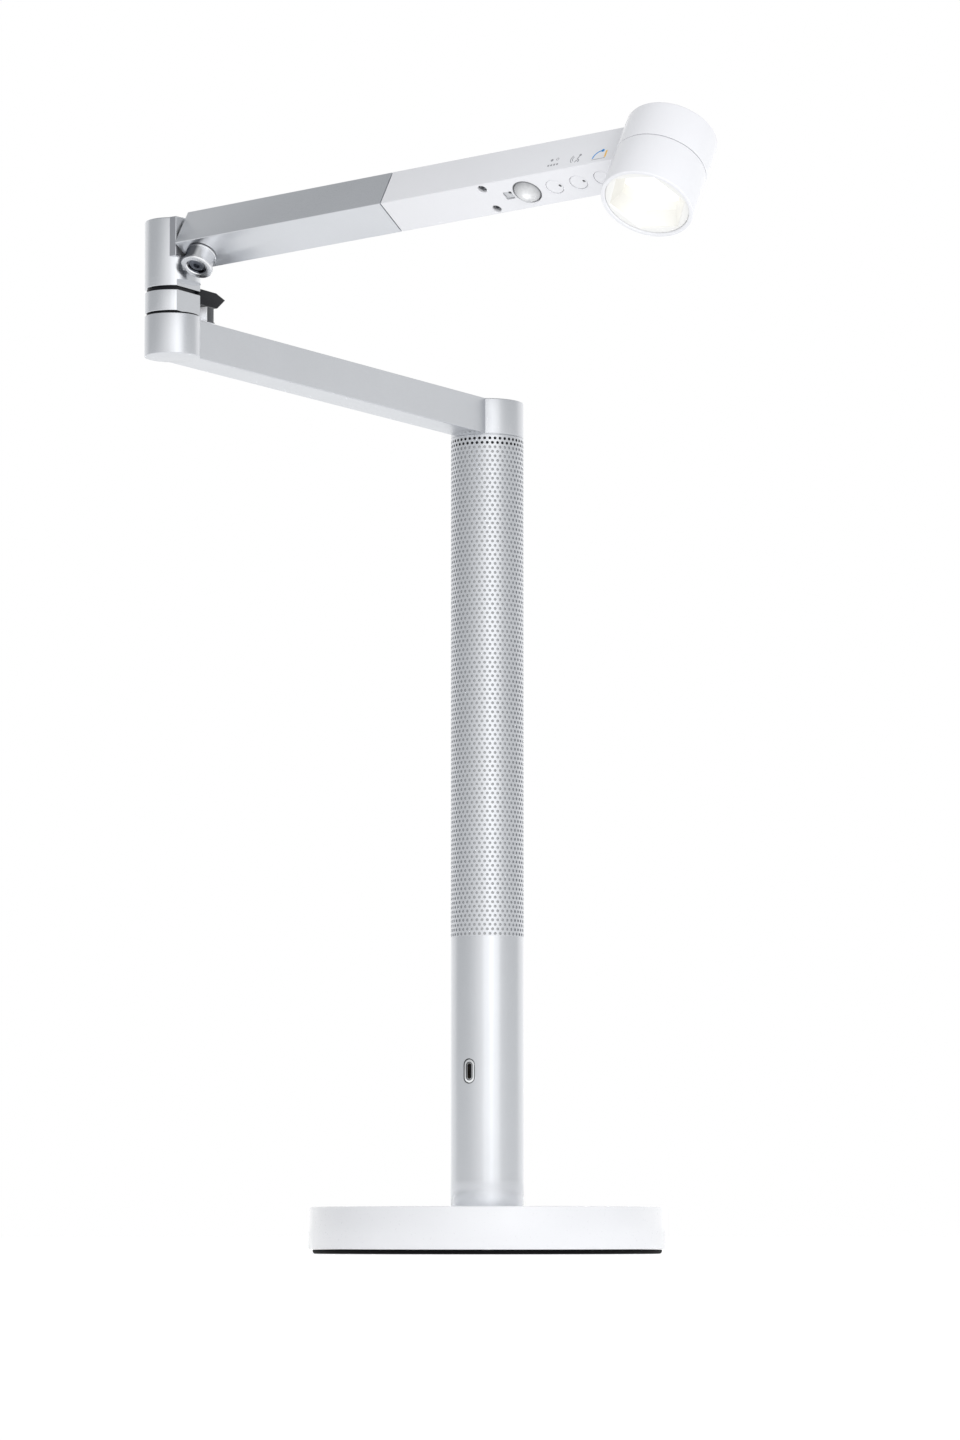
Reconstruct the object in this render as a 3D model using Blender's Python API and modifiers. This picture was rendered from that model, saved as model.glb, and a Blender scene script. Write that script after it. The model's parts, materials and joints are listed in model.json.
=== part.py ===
"""Two-arm LED desk lamp: round weighted base, perforated stem with a USB-C port,
square lower arm, vertical elbow, square upper arm that rolls about its own length,
control section and a cylindrical light head.

Metres, +Z up. The origin is on the stem's axis, on the surface the base stands on.
"""
import math

import bmesh
import bpy
from mathutils import Matrix, Vector

MM = 0.001

# ---------------------------------------------------------------- dimensions (mm)
# base
BASE_R = 93.0
BASE_BOTTOM = 2.35
BASE_TOP = 24.1
BASE_WALL = 2.8
PAD_R = 90.6
PAD_T = 2.0
INLET_Z = 12.8

# stem
STEM_R = 19.0
STEM_WALL = 1.2
STEM_BOTTOM = 24.4
STEM_TOP = 425.95
DIFFUSER_BOTTOM = 161.0
USB_Z = 94.2
USB_TURN = 30.0                 # degrees from the front towards -X
USB_OPENING = (8.34, 2.56)      # tall, wide

# lower arm
ARM_LENGTH = 282.0              # both arms, axis to axis
LOWER_BEARING = 57.84           # degrees, from -X towards -Y
LOWER_SECTION = 18.5
LOWER_BOTTOM = 426.3
LOWER_TOP = 444.8
LOWER_WALL = 1.6

# elbow
ELBOW_R = 13.3
ELBOW_BLOCK_TOP = 445.5
RING_BOTTOM = 446.6
RING_TOP = 456.6
PAD_PLATE = (456.9, 458.2)
KNUCKLE_BOTTOM = 458.5
KNUCKLE_TOP = 491.2
PIN_R = 4.5

# upper arm, in its own frame: x along the arm, z its local up
UPPER_BEARING = 35.75           # degrees, from +X towards -Y
UPPER_RISE = 1.7
UPPER_ROLL = 32.1
UPPER_AXIS_Z = 480.5
UPPER_SECTION = 19.6
UPPER_WALL = 1.7
UPPER_START = 12.2
SEAM_X = 133.5
HEAD_R = 21.1
HEAD_TOP = 9.86
HEAD_SPLIT = -9.7
HEAD_BOTTOM = -32.0
HEX_R = 17.6
HEX_TURN = 5.0
BARREL_X = 21.8
BUTTON_X = (225.2, 238.2, 251.2)
BUTTON_R = 4.1

GAP = 0.35

# ---------------------------------------------------------------- scene set-up
for _o in list(bpy.data.objects):
    bpy.data.objects.remove(_o, do_unlink=True)

LAMP = bpy.data.collections.new("desk_lamp")
CUTTERS = bpy.data.collections.new("cutters")
bpy.context.scene.collection.children.link(LAMP)
bpy.context.scene.collection.children.link(CUTTERS)


def material(name, colour, roughness, metallic=0.0, transmission=0.0, emission=0.0):
    mat = bpy.data.materials.new(name)
    mat.use_nodes = True
    bsdf = mat.node_tree.nodes["Principled BSDF"]
    bsdf.inputs["Base Color"].default_value = (*colour, 1.0)
    bsdf.inputs["Roughness"].default_value = roughness
    bsdf.inputs["Metallic"].default_value = metallic
    bsdf.inputs["Transmission Weight"].default_value = transmission
    if emission:
        bsdf.inputs["Emission Color"].default_value = (*colour, 1.0)
        bsdf.inputs["Emission Strength"].default_value = emission
    mat.diffuse_color = (*colour, 1.0)
    return mat


SILVER = material("satin_aluminium", (0.66, 0.68, 0.71), 0.32, 1.0)
WHITE = material("satin_white", (0.86, 0.87, 0.88), 0.35)
BLACK = material("black_polymer", (0.02, 0.02, 0.025), 0.45)
RUBBER = material("black_rubber", (0.015, 0.015, 0.015), 0.8)
STEEL = material("steel", (0.55, 0.56, 0.57), 0.3, 1.0)
CHROME = material("polished_steel", (0.8, 0.8, 0.82), 0.08, 1.0)
CAST = material("cast_weight", (0.12, 0.12, 0.13), 0.7, 1.0)
BOARD = material("circuit_board", (0.02, 0.12, 0.06), 0.5)
FROST = material("frosted_diffuser", (0.9, 0.9, 0.88), 0.6)
ACRYLIC = material("clear_acrylic", (0.95, 0.96, 0.97), 0.05, 0.0, 0.8)
COPPER = material("copper", (0.72, 0.38, 0.22), 0.3, 1.0)
BUSHING = material("bearing_polymer", (0.78, 0.76, 0.70), 0.5)
GLOW = material("glowing_optic", (1.0, 0.93, 0.80), 0.4, 0.0, 0.0, 2.0)
SMOKED = material("smoked_window", (0.03, 0.03, 0.04), 0.1)


# ---------------------------------------------------------------- helpers
def link(obj, collection):
    for c in list(obj.users_collection):
        c.objects.unlink(obj)
    collection.objects.link(obj)


def from_bmesh(bm, name, collection=CUTTERS):
    mesh = bpy.data.meshes.new(name)
    bm.normal_update()
    bm.to_mesh(mesh)
    bm.free()
    obj = bpy.data.objects.new(name, mesh)
    collection.objects.link(obj)
    return obj


def turn_to(axis):
    """Rotation that takes +Z to the named axis."""
    if axis == "Z":
        return Matrix.Identity(4)
    if axis == "X":
        return Matrix.Rotation(math.radians(90), 4, "Y")
    return Matrix.Rotation(math.radians(-90), 4, "X")


def rod(name, r, lo, hi, centre=(0.0, 0.0), axis="Z", seg=48, turn=0.0, r_top=None):
    """Solid round bar from lo to hi along an axis; centre is the other two coordinates."""
    bm = bmesh.new()
    bmesh.ops.create_cone(bm, cap_ends=True, cap_tris=False, segments=seg,
                          radius1=r * MM, radius2=(r if r_top is None else r_top) * MM,
                          depth=(hi - lo) * MM)
    bmesh.ops.rotate(bm, verts=bm.verts, cent=(0, 0, 0),
                     matrix=Matrix.Rotation(math.radians(turn), 3, "Z"))
    mid = (lo + hi) / 2
    if axis == "Z":
        place = (centre[0], centre[1], mid)
    elif axis == "X":
        place = (mid, centre[0], centre[1])
    else:
        place = (centre[0], mid, centre[1])
    bmesh.ops.transform(bm, verts=bm.verts, matrix=turn_to(axis))
    bmesh.ops.translate(bm, verts=bm.verts, vec=Vector(place) * MM)
    return from_bmesh(bm, name)


def block(name, x, y, z, round_edges=0.0):
    """Box from three (low, high) pairs."""
    bm = bmesh.new()
    bmesh.ops.create_cube(bm, size=1.0)
    size = Vector((x[1] - x[0], y[1] - y[0], z[1] - z[0])) * MM
    bmesh.ops.scale(bm, verts=bm.verts, vec=size)
    if round_edges:
        bmesh.ops.bevel(bm, geom=list(bm.edges), offset=round_edges * MM, segments=2,
                        profile=0.5, affect="EDGES", clamp_overlap=True)
    bmesh.ops.translate(bm, verts=bm.verts,
                        vec=Vector(((x[0] + x[1]) / 2, (y[0] + y[1]) / 2, (z[0] + z[1]) / 2)) * MM)
    return from_bmesh(bm, name)


def bar(name, x, half, z_mid=0.0, corner=0.0, y_mid=0.0):
    """Square bar along X with its long edges rounded."""
    bm = bmesh.new()
    bmesh.ops.create_cube(bm, size=1.0)
    bmesh.ops.scale(bm, verts=bm.verts, vec=Vector((x[1] - x[0], 2 * half, 2 * half)) * MM)
    if corner:
        long_edges = [e for e in bm.edges
                      if abs(e.verts[0].co.x - e.verts[1].co.x) > 0.5 * (x[1] - x[0]) * MM]
        bmesh.ops.bevel(bm, geom=long_edges, offset=corner * MM, segments=2, profile=0.5,
                        affect="EDGES", clamp_overlap=True)
    bmesh.ops.translate(bm, verts=bm.verts,
                        vec=Vector(((x[0] + x[1]) / 2, y_mid, z_mid)) * MM)
    return from_bmesh(bm, name)


def turned(name, profile, seg=64, axis="Z", offset=(0.0, 0.0, 0.0)):
    """Closed ring profile of (radius, height) pairs, turned with a Screw modifier.
    The profile runs down its outer side top to bottom. A radius of 0 lies on the axis."""
    bm = bmesh.new()
    verts = [bm.verts.new((r * MM, 0.0, h * MM)) for r, h in profile]
    for i in range(len(verts) - 1):
        bm.edges.new((verts[i], verts[i + 1]))
    if profile[0][0] > 0 or profile[-1][0] > 0:
        bm.edges.new((verts[-1], verts[0]))
    obj = from_bmesh(bm, name)
    mod = obj.modifiers.new("turn", "SCREW")
    mod.axis = "Z"
    mod.angle = math.radians(360)
    mod.steps = seg
    mod.render_steps = seg
    mod.use_merge_vertices = True
    mod.merge_threshold = 0.00001
    mod.use_smooth_shade = False
    bake(obj)
    move = Matrix.Translation(Vector(offset) * MM) @ turn_to(axis)
    obj.data.transform(move)
    return obj


def bake(obj):
    """Apply an object's modifiers by taking its evaluated mesh."""
    dg = bpy.context.evaluated_depsgraph_get()
    dg.update()
    mesh = bpy.data.meshes.new_from_object(obj.evaluated_get(dg))
    old = obj.data
    obj.modifiers.clear()
    obj.data = mesh
    bpy.data.meshes.remove(old)


def combine(obj, other, how):
    mod = obj.modifiers.new(how.lower(), "BOOLEAN")
    mod.operation = how
    mod.solver = "EXACT"
    mod.object = other
    bake(obj)
    other.hide_render = True
    other.display_type = "WIRE"
    return obj


def cut(obj, *cutters):
    for c in cutters:
        combine(obj, c, "DIFFERENCE")
    return obj


def join(obj, *others):
    for o in others:
        combine(obj, o, "UNION")
    return obj


def common(obj, other):
    return combine(obj, other, "INTERSECT")


def finish(obj, name, mat, parent=None, angle=35.0):
    """Name, clean, shade and place a finished part."""
    bm = bmesh.new()
    bm.from_mesh(obj.data)
    bmesh.ops.remove_doubles(bm, verts=bm.verts, dist=0.000002)
    bmesh.ops.recalc_face_normals(bm, faces=bm.faces)
    limit = math.radians(angle)
    for f in bm.faces:
        f.smooth = True
    for e in bm.edges:
        if len(e.link_faces) == 2:
            e.smooth = e.calc_face_angle() < limit
    bm.to_mesh(obj.data)
    bm.free()
    link(obj, LAMP)
    obj.name = name
    obj.data.name = name
    obj.data.materials.clear()
    obj.data.materials.append(mat)
    if parent is not None:
        obj.parent = parent
    return obj


def empty(name, matrix, parent=None):
    obj = bpy.data.objects.new(name, None)
    obj.empty_display_size = 0.03
    LAMP.objects.link(obj)
    if parent is not None:
        obj.parent = parent
    obj.matrix_local = matrix
    return obj


# ---------------------------------------------------------------- joint frames
LOWER_TURN = 180.0 + LOWER_BEARING
stem_swivel = empty("stem_swivel", Matrix.Rotation(math.radians(LOWER_TURN), 4, "Z"))
elbow_swivel = empty(
    "elbow_swivel",
    Matrix.Translation((ARM_LENGTH * MM, 0, 0))
    @ Matrix.Rotation(math.radians(-UPPER_BEARING - LOWER_TURN), 4, "Z"), stem_swivel)
arm_roll = empty(
    "arm_roll",
    Matrix.Translation((0, 0, UPPER_AXIS_Z * MM))
    @ Matrix.Rotation(math.radians(-UPPER_RISE), 4, "Y")
    @ Matrix.Rotation(math.radians(-UPPER_ROLL), 4, "X"), elbow_swivel)
bpy.context.view_layer.update()

# ================================================================ base and stem
# ---- pad, plate, screws
screw_spots = [(68 * math.cos(math.radians(a)), 68 * math.sin(math.radians(a)))
               for a in (30, 150, 270)]
pad = turned("pad", [(0, PAD_T), (PAD_R - 0.4, PAD_T), (PAD_R, PAD_T - 0.4), (PAD_R, 0.4),
                     (PAD_R - 0.4, 0), (0, 0)], 72)
for x, y in screw_spots:
    cut(pad, rod("c", 3.6, -1, 3, (x, y), seg=24))
finish(pad, "base_pad", RUBBER)

plate = rod("plate", 89.8, 2.5, 4.4, seg=64)
for x, y in screw_spots:
    cut(plate, rod("c", 1.9, 2, 5, (x, y), seg=20))
finish(plate, "base_plate", STEEL)

for i, (x, y) in enumerate(screw_spots, 1):
    s = turned("s", [(0, 12.0), (1.5, 12.0), (1.5, 2.1), (3.0, 2.1), (3.0, 0.7), (2.6, 0.5), (0, 0.5)],
               16, offset=(x, y, 0))
    cut(s, rod("c", 1.2, 0, 1.5, (x, y), seg=6))
    finish(s, "base_screw_%d" % i, STEEL)

# ---- weight: a ring with a slot to the back for the inlet
weight = turned("weight", [(89.0, 20.8), (89.6, 20.2), (89.6, 5.4), (89.0, 4.8),
                           (42.0, 4.8), (42.0, 20.8)], 56)
cut(weight, block("c", (-8, 8), (30, 100), (0, 30)))
for x, y in screw_spots:
    cut(weight, rod("c", 1.9, 4, 14, (x, y), seg=20))
finish(weight, "base_weight", CAST)

# ---- cover: one white shell, open below
inner = BASE_R - BASE_WALL
roof = BASE_TOP - BASE_WALL
cover = turned("cover", [(6.0, BASE_TOP), (BASE_R - 0.5, BASE_TOP), (BASE_R - 0.14, BASE_TOP - 0.15),
                         (BASE_R, BASE_TOP - 0.5), (BASE_R, BASE_BOTTOM + 0.4),
                         (BASE_R - 0.4, BASE_BOTTOM), (inner, BASE_BOTTOM), (inner, roof), (6.0, roof)], 80)
cut(cover, rod("c", 4.4, 85, 97, (0, INLET_Z), axis="Y", seg=32))
foot_spots = [(12 * math.cos(math.radians(a)), 12 * math.sin(math.radians(a))) for a in (90, 210, 330)]
for x, y in foot_spots:
    cut(cover, rod("c", 2.3, 15, 30, (x, y), seg=24))
finish(cover, "base_cover", WHITE)

# ---- power board and inlet
pcb = block("pcb", (-18, 18), (15, 33), (8.0, 9.6))
join(pcb, block("c", (-14, -4), (18, 28), (9.0, 14.5)), block("c", (2, 9), (19, 27), (9.0, 12.5)),
     rod("c", 2.5, 9.0, 16.0, (13.5, 24), seg=24))
finish(pcb, "power_board", BOARD)

jack = block("jack", (-5.2, 5.2), (76, 89.8), (INLET_Z - 5.2, INLET_Z + 5.2), 0.3)
join(jack, rod("c", 4.0, 89.0, 92.7, (0, INLET_Z), axis="Y", seg=32))
cut(jack, rod("c", 3.1, 81, 94, (0, INLET_Z), axis="Y", seg=32))
join(jack, rod("c", 1.0, 80, 91.2, (0, INLET_Z), axis="Y", seg=16))
finish(jack, "dc_inlet", BLACK)

# ---- stem foot and its screws
foot = turned("foot", [(6.0, 44.0), (16.6, 44.0), (17.45, 43.0), (17.45, STEM_BOTTOM), (6.0, STEM_BOTTOM)], 40)
for x, y in foot_spots:
    cut(foot, rod("c", 2.3, 20, 40, (x, y), seg=24))
finish(foot, "stem_foot", SILVER)

for i, (x, y) in enumerate(foot_spots, 1):
    s = turned("s", [(0, 38.0), (1.9, 38.0), (1.9, 20.9), (3.5, 20.9), (3.5, 17.4), (0, 17.4)],
               20, offset=(x, y, 0))
    cut(s, rod("c", 1.6, 16, 19.6, (x, y), seg=6))
    finish(s, "foot_screw_%d" % i, STEEL)

# ---- stem tube
tube = turned("tube", [(STEM_R - 0.3, STEM_TOP), (STEM_R, STEM_TOP - 0.3), (STEM_R, STEM_BOTTOM),
                       (STEM_R - STEM_WALL, STEM_BOTTOM), (STEM_R - STEM_WALL, STEM_TOP)], 72)


def usb_place(obj):
    """From a frame whose +Y points back into the stem to the port's place."""
    obj.data.transform(Matrix.Rotation(math.radians(-USB_TURN), 4, "Z")
                       @ Matrix.Translation((0, 0, USB_Z * MM)))
    return obj


def slot(name, tall, wide, y0, y1, seg=24):
    """Slot with round ends, tall along Z, running along Y."""
    s = rod(name, wide / 2, y0, y1, (0, (tall - wide) / 2), axis="Y", seg=seg)
    bm = bmesh.new()
    bm.from_mesh(s.data)
    for v in bm.verts:
        if v.co.z < (tall - wide) / 2 * MM - 1e-9:
            v.co.z -= (tall - wide) * MM
    # split the flat sides cleanly: verts on the mid line stay on the upper half
    bm.to_mesh(s.data)
    bm.free()
    return s


cut(tube, usb_place(slot("c", 13.0, 6.7, -22, -10)))
finish(tube, "stem_tube", SILVER)

bezel = slot("bezel", 12.2, 5.9, -18.7, -15.6)
cut(bezel, slot("c", 9.7, 4.0, -22, -10))
finish(usb_place(bezel), "usb_bezel", CHROME)

shell = slot("shell", 8.94, 3.16, -18.5, -11.2)
cut(shell, slot("c", USB_OPENING[0], USB_OPENING[1], -22, -11.8))
join(shell, block("c", (-0.35, 0.35), (-17.6, -11.4), (-3.35, 3.35)))
finish(usb_place(shell), "usb_socket", STEEL)

usb_board = block("usb_board", (2.1, 3.3), (-15.2, -8.0), (-13, 13))
join(usb_board, block("c", (3.0, 5.0), (-14, -10), (-11, -6)), block("c", (3.0, 4.4), (-15, -10), (2, 8)))
finish(usb_place(usb_board), "usb_board", BOARD)

# ---- light pipe, its seat, the diffuser and the bearing sleeve
seat = rod("seat", 17.4, 150.0, 160.5, seg=64)
cut(seat, rod("c", 2.5, 140, 170, (0, 13.6), seg=24))
finish(seat, "light_pipe_seat", BLACK)
finish(rod("pipe", 9.5, 161.0, 424.5, seg=48), "light_pipe", ACRYLIC)
finish(turned("diffuser", [(17.4, 419.9), (17.4, DIFFUSER_BOTTOM), (16.4, DIFFUSER_BOTTOM), (16.4, 419.9)], 40),
       "diffuser_tube", FROST)
sleeve = turned("sleeve", [(14.2, 440.6), (14.6, 440.2), (14.6, 439.5), (13.9, 439.5), (13.9, 437.9),
                           (14.6, 437.9), (14.6, STEM_TOP), (17.4, STEM_TOP), (17.4, 420.2), (16.0, 420.2),
                           (16.0, 410.0), (11.0, 410.0),
                           (11.0, 440.6)], 36)
finish(sleeve, "stem_bearing_sleeve", SILVER)
clip = turned("clip", [(16.3, 439.2), (16.3, 438.2), (14.25, 438.2), (14.25, 439.2)], 32)
cut(clip, block("c", (-4, 4), (5, 25), (430, 445)))
finish(clip, "sleeve_circlip", STEEL)

# ================================================================ lower arm
half = LOWER_SECTION / 2
arm_mid = (LOWER_BOTTOM + LOWER_TOP) / 2
frame = turned("frame", [(0, LOWER_TOP), (STEM_R - 0.6, LOWER_TOP), (STEM_R - 0.18, LOWER_TOP - 0.18),
                         (STEM_R, LOWER_TOP - 0.6), (STEM_R, LOWER_BOTTOM + 0.3), (STEM_R - 0.3, LOWER_BOTTOM),
                         (0, LOWER_BOTTOM)], 72)
elbow_block = turned("elbow_block", [(0, ELBOW_BLOCK_TOP), (ELBOW_R - 0.3, ELBOW_BLOCK_TOP),
                                     (ELBOW_R, ELBOW_BLOCK_TOP - 0.3), (ELBOW_R, LOWER_BOTTOM + 0.3),
                                     (ELBOW_R - 0.3, LOWER_BOTTOM - 0.02), (0, LOWER_BOTTOM - 0.02)], 48,
                     offset=(ARM_LENGTH, 0, 0))
join(frame, bar("c", (8.0, ARM_LENGTH - 3.0), half - 0.01, arm_mid, 0.5), elbow_block)
cut(frame,
    rod("c", 16.95, 420, 441.0, seg=40),
    rod("c", 12.6, 430, 450, seg=32),
    rod("c", 15.3, 442.6, 450, seg=48),
    bar("c", (9.0, ARM_LENGTH - 6.5), half - LOWER_WALL, arm_mid - 0.4),
    rod("c", PIN_R + GAP, 429.0, 450, (ARM_LENGTH, 0), seg=32))
finish(frame, "lower_arm_frame", SILVER, stem_swivel)

finish(turned("bush", [(16.6, 437.5), (16.6, 426.6), (14.95, 426.6), (14.95, 437.5)], 36),
       "pivot_bush", BUSHING, stem_swivel)
finish(turned("cap_lens", [(0, 444.65), (14.6, 444.65), (14.95, 444.3), (14.95, 442.95), (0, 442.95)], 40),
       "cap_lens", FROST, stem_swivel)

# ---- elbow, static side
EX = ARM_LENGTH
finish(turned("pin", [(PIN_R - 0.3, 487.0), (PIN_R, 486.7), (PIN_R, 429.6), (2.5, 429.6), (2.5, 487.0)], 20,
              offset=(EX, 0, 0)), "elbow_pin", STEEL, stem_swivel)
nut = rod("nut", 6.3, 483.0, 486.2, (EX, 0), seg=6)
cut(nut, rod("c", PIN_R + GAP, 480, 490, (EX, 0), seg=32))
finish(nut, "elbow_nut", STEEL, stem_swivel)
finish(turned("washer", [(12.5, 446.25), (12.5, 445.85), (PIN_R + GAP, 445.85), (PIN_R + GAP, 446.25)], 40,
              offset=(EX, 0, 0)), "elbow_washer", BLACK, stem_swivel)

ring = turned("ring", [(ELBOW_R - 0.3, RING_TOP), (ELBOW_R, RING_TOP - 0.3), (ELBOW_R, RING_BOTTOM + 0.3),
                       (ELBOW_R - 0.3, RING_BOTTOM), (PIN_R + GAP, RING_BOTTOM), (PIN_R + GAP, RING_TOP)], 48,
              offset=(EX, 0, 0))
cut(ring, block("c", (EX - 30, EX + 30), (half, half + 20), (440, 470)),
    block("c", (EX - 30, EX + 30), (-half - 20, -half), (440, 470)))
finish(ring, "elbow_ring", SILVER, stem_swivel)

# the parking pad: a thin plate round the pin, and a thick nose over the arm that the
# barrel comes to rest above when the arms are folded together
PAD_NOSE = 31.0
pad = block("pad", (EX - PAD_NOSE, EX - 7.0), (-half + 0.25, half - 0.25), (452.75, 460.1))
cut(pad, rod("c", ELBOW_R + GAP, 440, 456.85, (EX, 0), seg=48),
    rod("c", ELBOW_R + GAP, 458.25, 470, (EX, 0), seg=48))
wedge_low = block("c", (-20, 20), (-20, 20), (-20, 0))
wedge_low.data.transform(Matrix.Translation(Vector((EX - PAD_NOSE, 0, 457.8)) * MM)
                         @ Matrix.Rotation(math.radians(37), 4, "Y"))
wedge_top = block("c", (-20, 20), (-20, 20), (0, 20))
wedge_top.data.transform(Matrix.Translation(Vector((EX - PAD_NOSE, 0, 457.8)) * MM)
                         @ Matrix.Rotation(math.radians(-17), 4, "Y"))
cut(pad, wedge_low, wedge_top)
join(pad, turned("c", [(0, PAD_PLATE[1]), (12.4, PAD_PLATE[1]), (12.4, PAD_PLATE[0]), (0, PAD_PLATE[0])], 40,
                 offset=(EX, 0, 0)),
     block("c", (EX - 14.5, EX - 8), (-7.5, 7.5), PAD_PLATE))
cut(pad, rod("c", PIN_R + GAP, 440, 470, (EX, 0), seg=32),
    block("c", (EX - 7, EX + 30), (half - 0.6, half + 20), (440, 470)),
    block("c", (EX - 7, EX + 30), (-half - 20, -half + 0.6), (440, 470)))
finish(pad, "parking_pad", BLACK, stem_swivel)
finish(block("post", (EX - 21.3, EX - 15.6), (-half + 0.25, half - 0.25), (445.1, 452.4), 0.15),
       "parking_post", STEEL, stem_swivel)

# ================================================================ knuckle
knuckle = turned("knuckle", [(0, KNUCKLE_TOP), (ELBOW_R - 0.7, KNUCKLE_TOP), (ELBOW_R, KNUCKLE_TOP - 0.7),
                             (ELBOW_R, KNUCKLE_BOTTOM + 0.3), (ELBOW_R - 0.3, KNUCKLE_BOTTOM),
                             (0, KNUCKLE_BOTTOM)], 48)
join(knuckle, block("c", (0, 11.0), (-11.2, 11.2), (472.3, KNUCKLE_TOP - 0.01)))
flat = block("c", (-30, 30), (half, half + 20), (450, 461.5))
flat.data.transform(Matrix.Rotation(math.radians(LOWER_TURN + UPPER_BEARING), 4, "Z"))
cut(knuckle, flat,
    block("c", (11.0, 30), (-20, 20), (472.3, 500)),
    block("c", (11.6, 30), (-20, 20), (465.8, 472.5)),
    rod("c", PIN_R + GAP, 450, 465, seg=32),
    rod("c", 6.8, 461.0, 489.5, seg=28),
    rod("c", 10.2, 488.7, 495, seg=36),
    rod("c", 5.35, 4.0, 15, (0, UPPER_AXIS_Z), axis="X", seg=32))
finish(knuckle, "knuckle_housing", SILVER, elbow_swivel)
finish(turned("cap", [(0, 491.05), (9.5, 491.05), (9.85, 490.7), (9.85, 489.05), (0, 489.05)], 36),
       "knuckle_cap", SILVER, elbow_swivel)
finish(turned("bush", [(6.45, 471.5), (6.45, 461.4), (PIN_R + GAP, 461.4), (PIN_R + GAP, 471.5)], 24),
       "elbow_bush_lower", BUSHING, elbow_swivel)
finish(turned("bush", [(6.45, 475.0), (6.45, 472.0), (PIN_R + GAP, 472.0), (PIN_R + GAP, 475.0)], 24),
       "elbow_bush_upper", BUSHING, elbow_swivel)

# ---- roll spigot: fixed in the knuckle, the upper arm turns on it
roll_axis = empty("roll_axis", Matrix.Translation((0, 0, UPPER_AXIS_Z * MM))
                  @ Matrix.Rotation(math.radians(-UPPER_RISE), 4, "Y"), elbow_swivel)
finish(turned("spigot", [(5.6, 44.5), (6.0, 44.1), (6.0, 42.6), (5.4, 42.6), (5.4, 41.0), (6.0, 41.0),
                         (6.0, 11.85), (7.7, 11.85), (7.7, 11.35), (4.9, 11.35), (4.9, 7.4), (3.2, 7.4),
                         (3.2, 44.5)], 24, axis="X"),
       "roll_spigot", STEEL, roll_axis)
clip = turned("clip", [(7.2, 42.3), (7.2, 41.3), (5.75, 41.3), (5.75, 42.3)], 24, axis="X")
cut(clip, block("c", (35, 50), (-2, 2), (3, 12)))
finish(clip, "spigot_circlip", STEEL, roll_axis)

# ================================================================ upper arm
uh = UPPER_SECTION / 2
beam = bar("beam", (UPPER_START, SEAM_X - 0.3), uh, 0, 0.5)
cut(beam, bar("c", (15.6, SEAM_X + 5), uh - UPPER_WALL),
    rod("c", 6.0 + GAP, 5, 20, axis="X", seg=32),
    rod("c", 3.0 + GAP, -15, -5, (BARREL_X, 0), seg=24))
finish(beam, "upper_arm_beam", SILVER, arm_roll)

bearing = bar("bearing", (16.0, 38.0), uh - UPPER_WALL - GAP, 0, 0.5)
cut(bearing, rod("c", 6.0 + GAP, 5, 50, axis="X", seg=28),
    rod("c", 3.0 + GAP, -15, 0, (BARREL_X, 0), seg=24))
finish(bearing, "roll_bearing", BUSHING, arm_roll)

barrel = turned("barrel", [(0, -6.8), (2.6, -6.8), (3.0, -7.2), (3.0, -10.2), (7.4, -10.2), (7.4, -17.2),
                           (7.85, -17.4), (7.85, -18.3), (7.5, -18.6), (4.7, -18.6), (4.6, -15.4),
                           (0, -15.4)], 36, offset=(BARREL_X, 0, 0))
finish(barrel, "roll_barrel", CHROME, arm_roll)
bs = rod("bs", 4.0, -17.6, -15.75, (BARREL_X, 0), seg=32)
cut(bs, rod("c", 1.7, -19, -16.5, (BARREL_X, 0), seg=6))
finish(bs, "barrel_screw", BLACK, arm_roll)

joiner = bar("joiner", (116.0, 151.0), uh - UPPER_WALL - GAP, 0, 0.4)
cut(joiner, bar("c", (110, 160), uh - UPPER_WALL - GAP - 1.4))
finish(joiner, "arm_joiner", BLACK, arm_roll)

# ---- white control cover
cover = bar("cover", (SEAM_X + 0.3, ARM_LENGTH - 5), uh, 0, 0.5)
cut(cover, bar("c", (SEAM_X - 5, ARM_LENGTH + 5), uh - 1.6),
    rod("c", HEAD_R + GAP, -40, 40, (ARM_LENGTH, 0), seg=72),
    rod("c", 2.1, -15, -5, (189.2, -6.6), seg=24), rod("c", 2.1, -15, -5, (189.2, 6.6), seg=24),
    rod("c", 6.9, -15, -5, (210.0, 0), seg=32),
    block("c", (197.6, 202.4), (-2.4, 2.4), (-15, -5)),
    *[rod("c", BUTTON_R + 0.35, -15, -5, (x, 0), seg=28) for x in BUTTON_X])
finish(cover, "control_cover", WHITE, arm_roll)

for i, y in enumerate((-6.6, 6.6), 1):
    s = turned("s", [(0, -2.2), (0.9, -2.2), (0.9, -8.0), (1.75, -8.0), (1.75, -9.3), (0, -9.3)], 20,
               offset=(189.2, y, 0))
    cut(s, rod("c", 0.9, -10, -8.6, (189.2, y), seg=6))
    finish(s, "cover_screw_%d" % i, STEEL, arm_roll)

board = block("board", (160, 259), (-7.4, 7.4), (-4.3, -3.1))
cut(board, *[rod("c", 1.3, -6, 0, (189.2, y), seg=16) for y in (-6.6, 6.6)])
join(board, block("c", (166, 174), (-4, 4), (-3.5, -1.9)), block("c", (240, 250), (-5, 3), (-3.5, -1.6)))
finish(board, "control_board", BOARD, arm_roll)

finish(block("win", (197.9, 202.1), (-2.1, 2.1), (-9.7, -7.6)), "sensor_window", SMOKED, arm_roll)
dome = turned("dome", [(0, -6.9), (7.3, -6.9), (7.3, -7.9), (6.55, -7.9), (6.55, -9.9), (6.1, -10.7),
                       (5.2, -11.4), (3.8, -12.0), (2.0, -12.35), (0, -12.45)], 32, offset=(210.0, 0, 0))
finish(dome, "motion_sensor_lens", FROST, arm_roll)

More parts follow.
